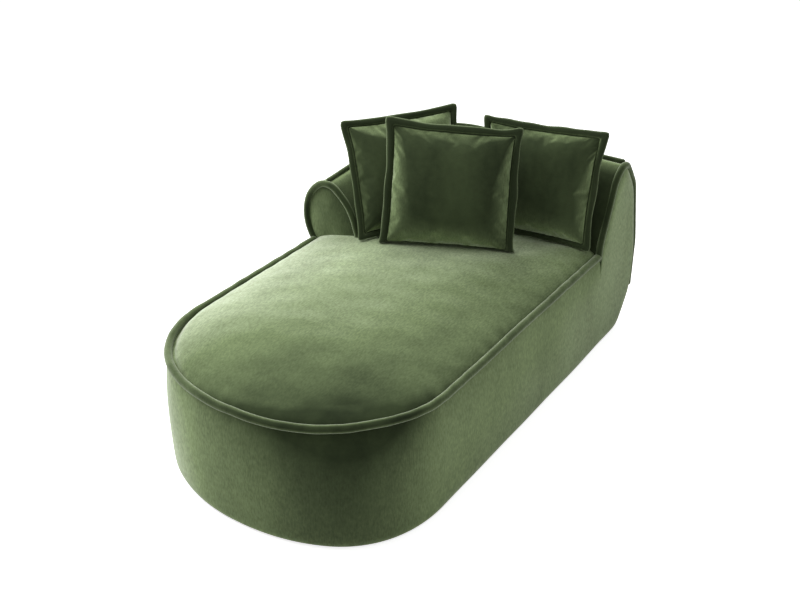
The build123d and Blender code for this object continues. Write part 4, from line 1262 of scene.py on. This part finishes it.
@dataclass(frozen=True)
class InnerWork:
    """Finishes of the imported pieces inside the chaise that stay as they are."""

    finishes: dict[str, InnerFinish] = field(default_factory=lambda: {
        "board": InnerFinish("sawn_board", (0.38, 0.24, 0.12, 1.0), (0.62, 0.45, 0.27, 1.0),
                             (1.0, 0.12, 1.0), 60.0),
        "foam": InnerFinish("cut_foam", (0.72, 0.66, 0.48, 1.0), (0.86, 0.81, 0.64, 1.0), scale=240.0),
        "filling": InnerFinish("fibre_filling", (0.74, 0.74, 0.71, 1.0), (0.88, 0.88, 0.86, 1.0),
                               scale=120.0),
        "lining": InnerFinish("black_lining", (0.008, 0.008, 0.008, 1.0), (0.03, 0.03, 0.03, 1.0),
                              scale=900.0),
        "webbing": InnerFinish("woven_webbing", (0.05, 0.04, 0.035, 1.0), (0.16, 0.13, 0.10, 1.0),
                               (1.0, 8.0, 1.0), 160.0),
        "glide": InnerFinish("glide_plastic", (0.008, 0.008, 0.008, 1.0), (0.02, 0.02, 0.02, 1.0),
                             scale=400.0, roughness=0.45),
        "steel": InnerFinish("plated_steel", (0.42, 0.42, 0.44, 1.0), (0.6, 0.6, 0.62, 1.0),
                             scale=300.0, roughness=0.35, metallic=1.0, bump=0.05),
    })

    def dress(self) -> None:
        """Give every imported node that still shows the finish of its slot."""
        made = {slot: finish.build() for slot, finish in self.finishes.items()}
        slots = {entry["node"]: entry["material_slot"] for entry in frame["record"]["subparts"]}
        for name, node in frame["nodes"].items():
            if slots.get(name) in made:
                node.data.materials.clear()
                node.data.materials.append(made[slots[name]])


@dataclass(frozen=True)
class Lamp:
    """Square soft lamp that looks at a point: its side in metres and its power in watts."""

    name: str
    place: Triple
    aim: Triple
    size: float
    power: float

    def build(self) -> None:
        """Hang the lamp and turn it to its point."""
        data = bpy.data.lights.new(self.name, "AREA")
        data.size = self.size
        data.energy = self.power
        holder = bpy.data.objects.new(self.name, data)
        holder.location = self.place
        ray = np.array(self.place) - np.array(self.aim)
        flat = math.hypot(ray[0], ray[1])
        holder.rotation_euler = (math.atan2(flat, ray[2]), 0.0, math.atan2(ray[0], -ray[1]))
        bpy.context.scene.collection.objects.link(holder)


LAMPS = (
    Lamp("rear_softbox", (-1.2, 1.0, 2.8), (0.0, -0.2, 0.4), 2.2, 66.0),
    Lamp("top_softbox", (-1.1, -1.0, 2.9), (0.0, 0.1, 0.5), 1.6, 52.0),
    Lamp("right_softbox", (3.2, 0.5, 1.5), (0.0, 0.0, 0.4), 1.8, 13.0),
    Lamp("left_softbox", (-2.7, -1.3, 1.6), (0.0, -0.1, 0.45), 1.6, 34.0),
    Lamp("front_fill", (0.4, -3.6, 1.3), (0.0, 0.0, 0.3), 1.6, 3.0),
)


@dataclass(frozen=True)
class Studio:
    """Pale floor, soft lamps and the camera at the photograph's angle."""

    eye: Triple = (1.78195, -2.6571, 2.1862)
    azimuth: float = 33.738
    down: float = 30.0
    lens: float = 50.0
    sensor: float = 36.0
    floor_half: float = 9.0
    floor_glow: float = 0.78
    world_level: float = 0.34

    def build(self) -> None:
        """Build the stage, the lamps, the world and the camera."""
        self.build_floor()
        self.build_world()
        for lamp in LAMPS:
            lamp.build()
        camera = bpy.data.cameras.new("view")
        camera.lens = self.lens
        camera.sensor_width = self.sensor
        holder = bpy.data.objects.new("view", camera)
        holder.location = self.eye
        holder.rotation_euler = (math.radians(90.0 - self.down), 0.0, math.radians(self.azimuth))
        bpy.context.scene.collection.objects.link(holder)
        bpy.context.scene.camera = holder
        bpy.context.scene.view_settings.view_transform = "Standard"

    def build_floor(self) -> None:
        """Build the pale floor: it takes the shadow, and the camera sees it lifted to near white."""
        line = np.linspace(-self.floor_half, self.floor_half, 3)
        floor = grid_piece("floor", spread_points(line[:, None], line[None, :], 0.0))
        nodes = Nodes("pale_floor")
        tree = nodes.tree
        nodes.fill(nodes.shader, Base_Color=(0.80, 0.80, 0.80, 1.0), Roughness=1.0, Specular_IOR_Level=0.0)
        path = tree.nodes.new("ShaderNodeLightPath")
        seen = nodes.sum(nodes.sum(path.outputs["Is Camera Ray"], path.outputs["Is Glossy Ray"], "MAXIMUM"),
                         path.outputs["Is Transmission Ray"], "MAXIMUM")
        level = nodes.sum(seen, self.floor_glow, "MULTIPLY")
        glow = nodes.add("ShaderNodeEmission", Color=(1.0, 1.0, 1.0, 1.0), Strength=level)
        both = tree.nodes.new("ShaderNodeAddShader")
        tree.links.new(nodes.shader.outputs[0], both.inputs[0])
        tree.links.new(glow.outputs[0], both.inputs[1])
        output = next(node for node in tree.nodes if node.type == "OUTPUT_MATERIAL")
        tree.links.new(both.outputs[0], output.inputs["Surface"])
        floor.data.materials.append(nodes.material)

    def build_world(self) -> None:
        """Build the world: white where the camera sees it, a soft level of light elsewhere."""
        world = bpy.data.worlds.new("studio")
        bpy.context.scene.world = world
        world.use_nodes = True
        tree = world.node_tree
        background = next(node for node in tree.nodes if node.type == "BACKGROUND")
        background.inputs["Color"].default_value = (1.0, 1.0, 1.0, 1.0)
        path = tree.nodes.new("ShaderNodeLightPath")
        seen = tree.nodes.new("ShaderNodeMath")
        seen.operation = "MAXIMUM"
        tree.links.new(path.outputs["Is Camera Ray"], seen.inputs[0])
        tree.links.new(path.outputs["Is Transmission Ray"], seen.inputs[1])
        level = tree.nodes.new("ShaderNodeMapRange")
        tree.links.new(seen.outputs[0], level.inputs[0])
        level.inputs[3].default_value = self.world_level
        level.inputs[4].default_value = 1.0
        tree.links.new(level.outputs[0], background.inputs["Strength"])


CUSHIONS = (
    Cushion("left_scatter_cushion", Body.LEFT, "left", (-0.09133, 0.2440, 0.4635), 55.0, 23.0, 1.2, 51,
            ((0.008, -0.009), (0.013, -0.010), (0.0, 0.0), (0.003, 0.002))),
    Cushion("middle_scatter_cushion", Body.MIDDLE, "middle", (0.05631, 0.200, 0.4528), 28.0, 10.5, -2.0, 52,
            ((-0.010, 0.016), (0.018, 0.005), (0.022, -0.010), (-0.017, -0.012)),
            back_fill=0.55, tuck=80.0),
    Cushion("right_scatter_cushion", Body.RIGHT, "right", (0.23975, 0.4720, 0.4256), 11.0, 8.5, -2.2, 53,
            ((-0.014, -0.013), (-0.003, 0.006), (-0.002, 0.001), (0.0, 0.0))),
)


def main() -> None:
    """Build every piece in order."""
    logging.basicConfig(level=logging.INFO, format="%(name)s %(message)s")
    # Each velvet sets how much painted sheen it takes and the facing values where that sheen begins.
    seat_velvet = Velvet("seat_velvet", along=Along.SEAT, rim_start=0.19, rim_end=0.80,
                         sheen_white_start=0.42).build()
    wall_velvet = Velvet("wall_velvet", sheen_white_start=0.62).build()
    cord_velvet = Velvet("cord_velvet", rim_share=0.5, patch_scale=9.0).build()
    cushion_velvet = Velvet("cushion_velvet", deep=(0.019, 0.028, 0.0115, 1.0),
                            brushed=(0.052, 0.072, 0.031, 1.0), patch_scale=6.0,
                            rim_start=0.10, rim_end=0.66, rim_share=0.95).build()
    InnerWork().dress()
    seat, wrap = SeatPad(), Wrap()
    seat.build(seat_velvet)
    seat.build_piping(cord_velvet)
    BaseWall().build(wall_velvet)
    wrap.build(wall_velvet)
    wrap.build_face(wall_velvet)
    wrap.build_piping(cord_velvet)
    for cushion in CUSHIONS:
        cushion.build(cushion_velvet, seat)
    Studio().build()


if __name__ == "__main__":
    main()
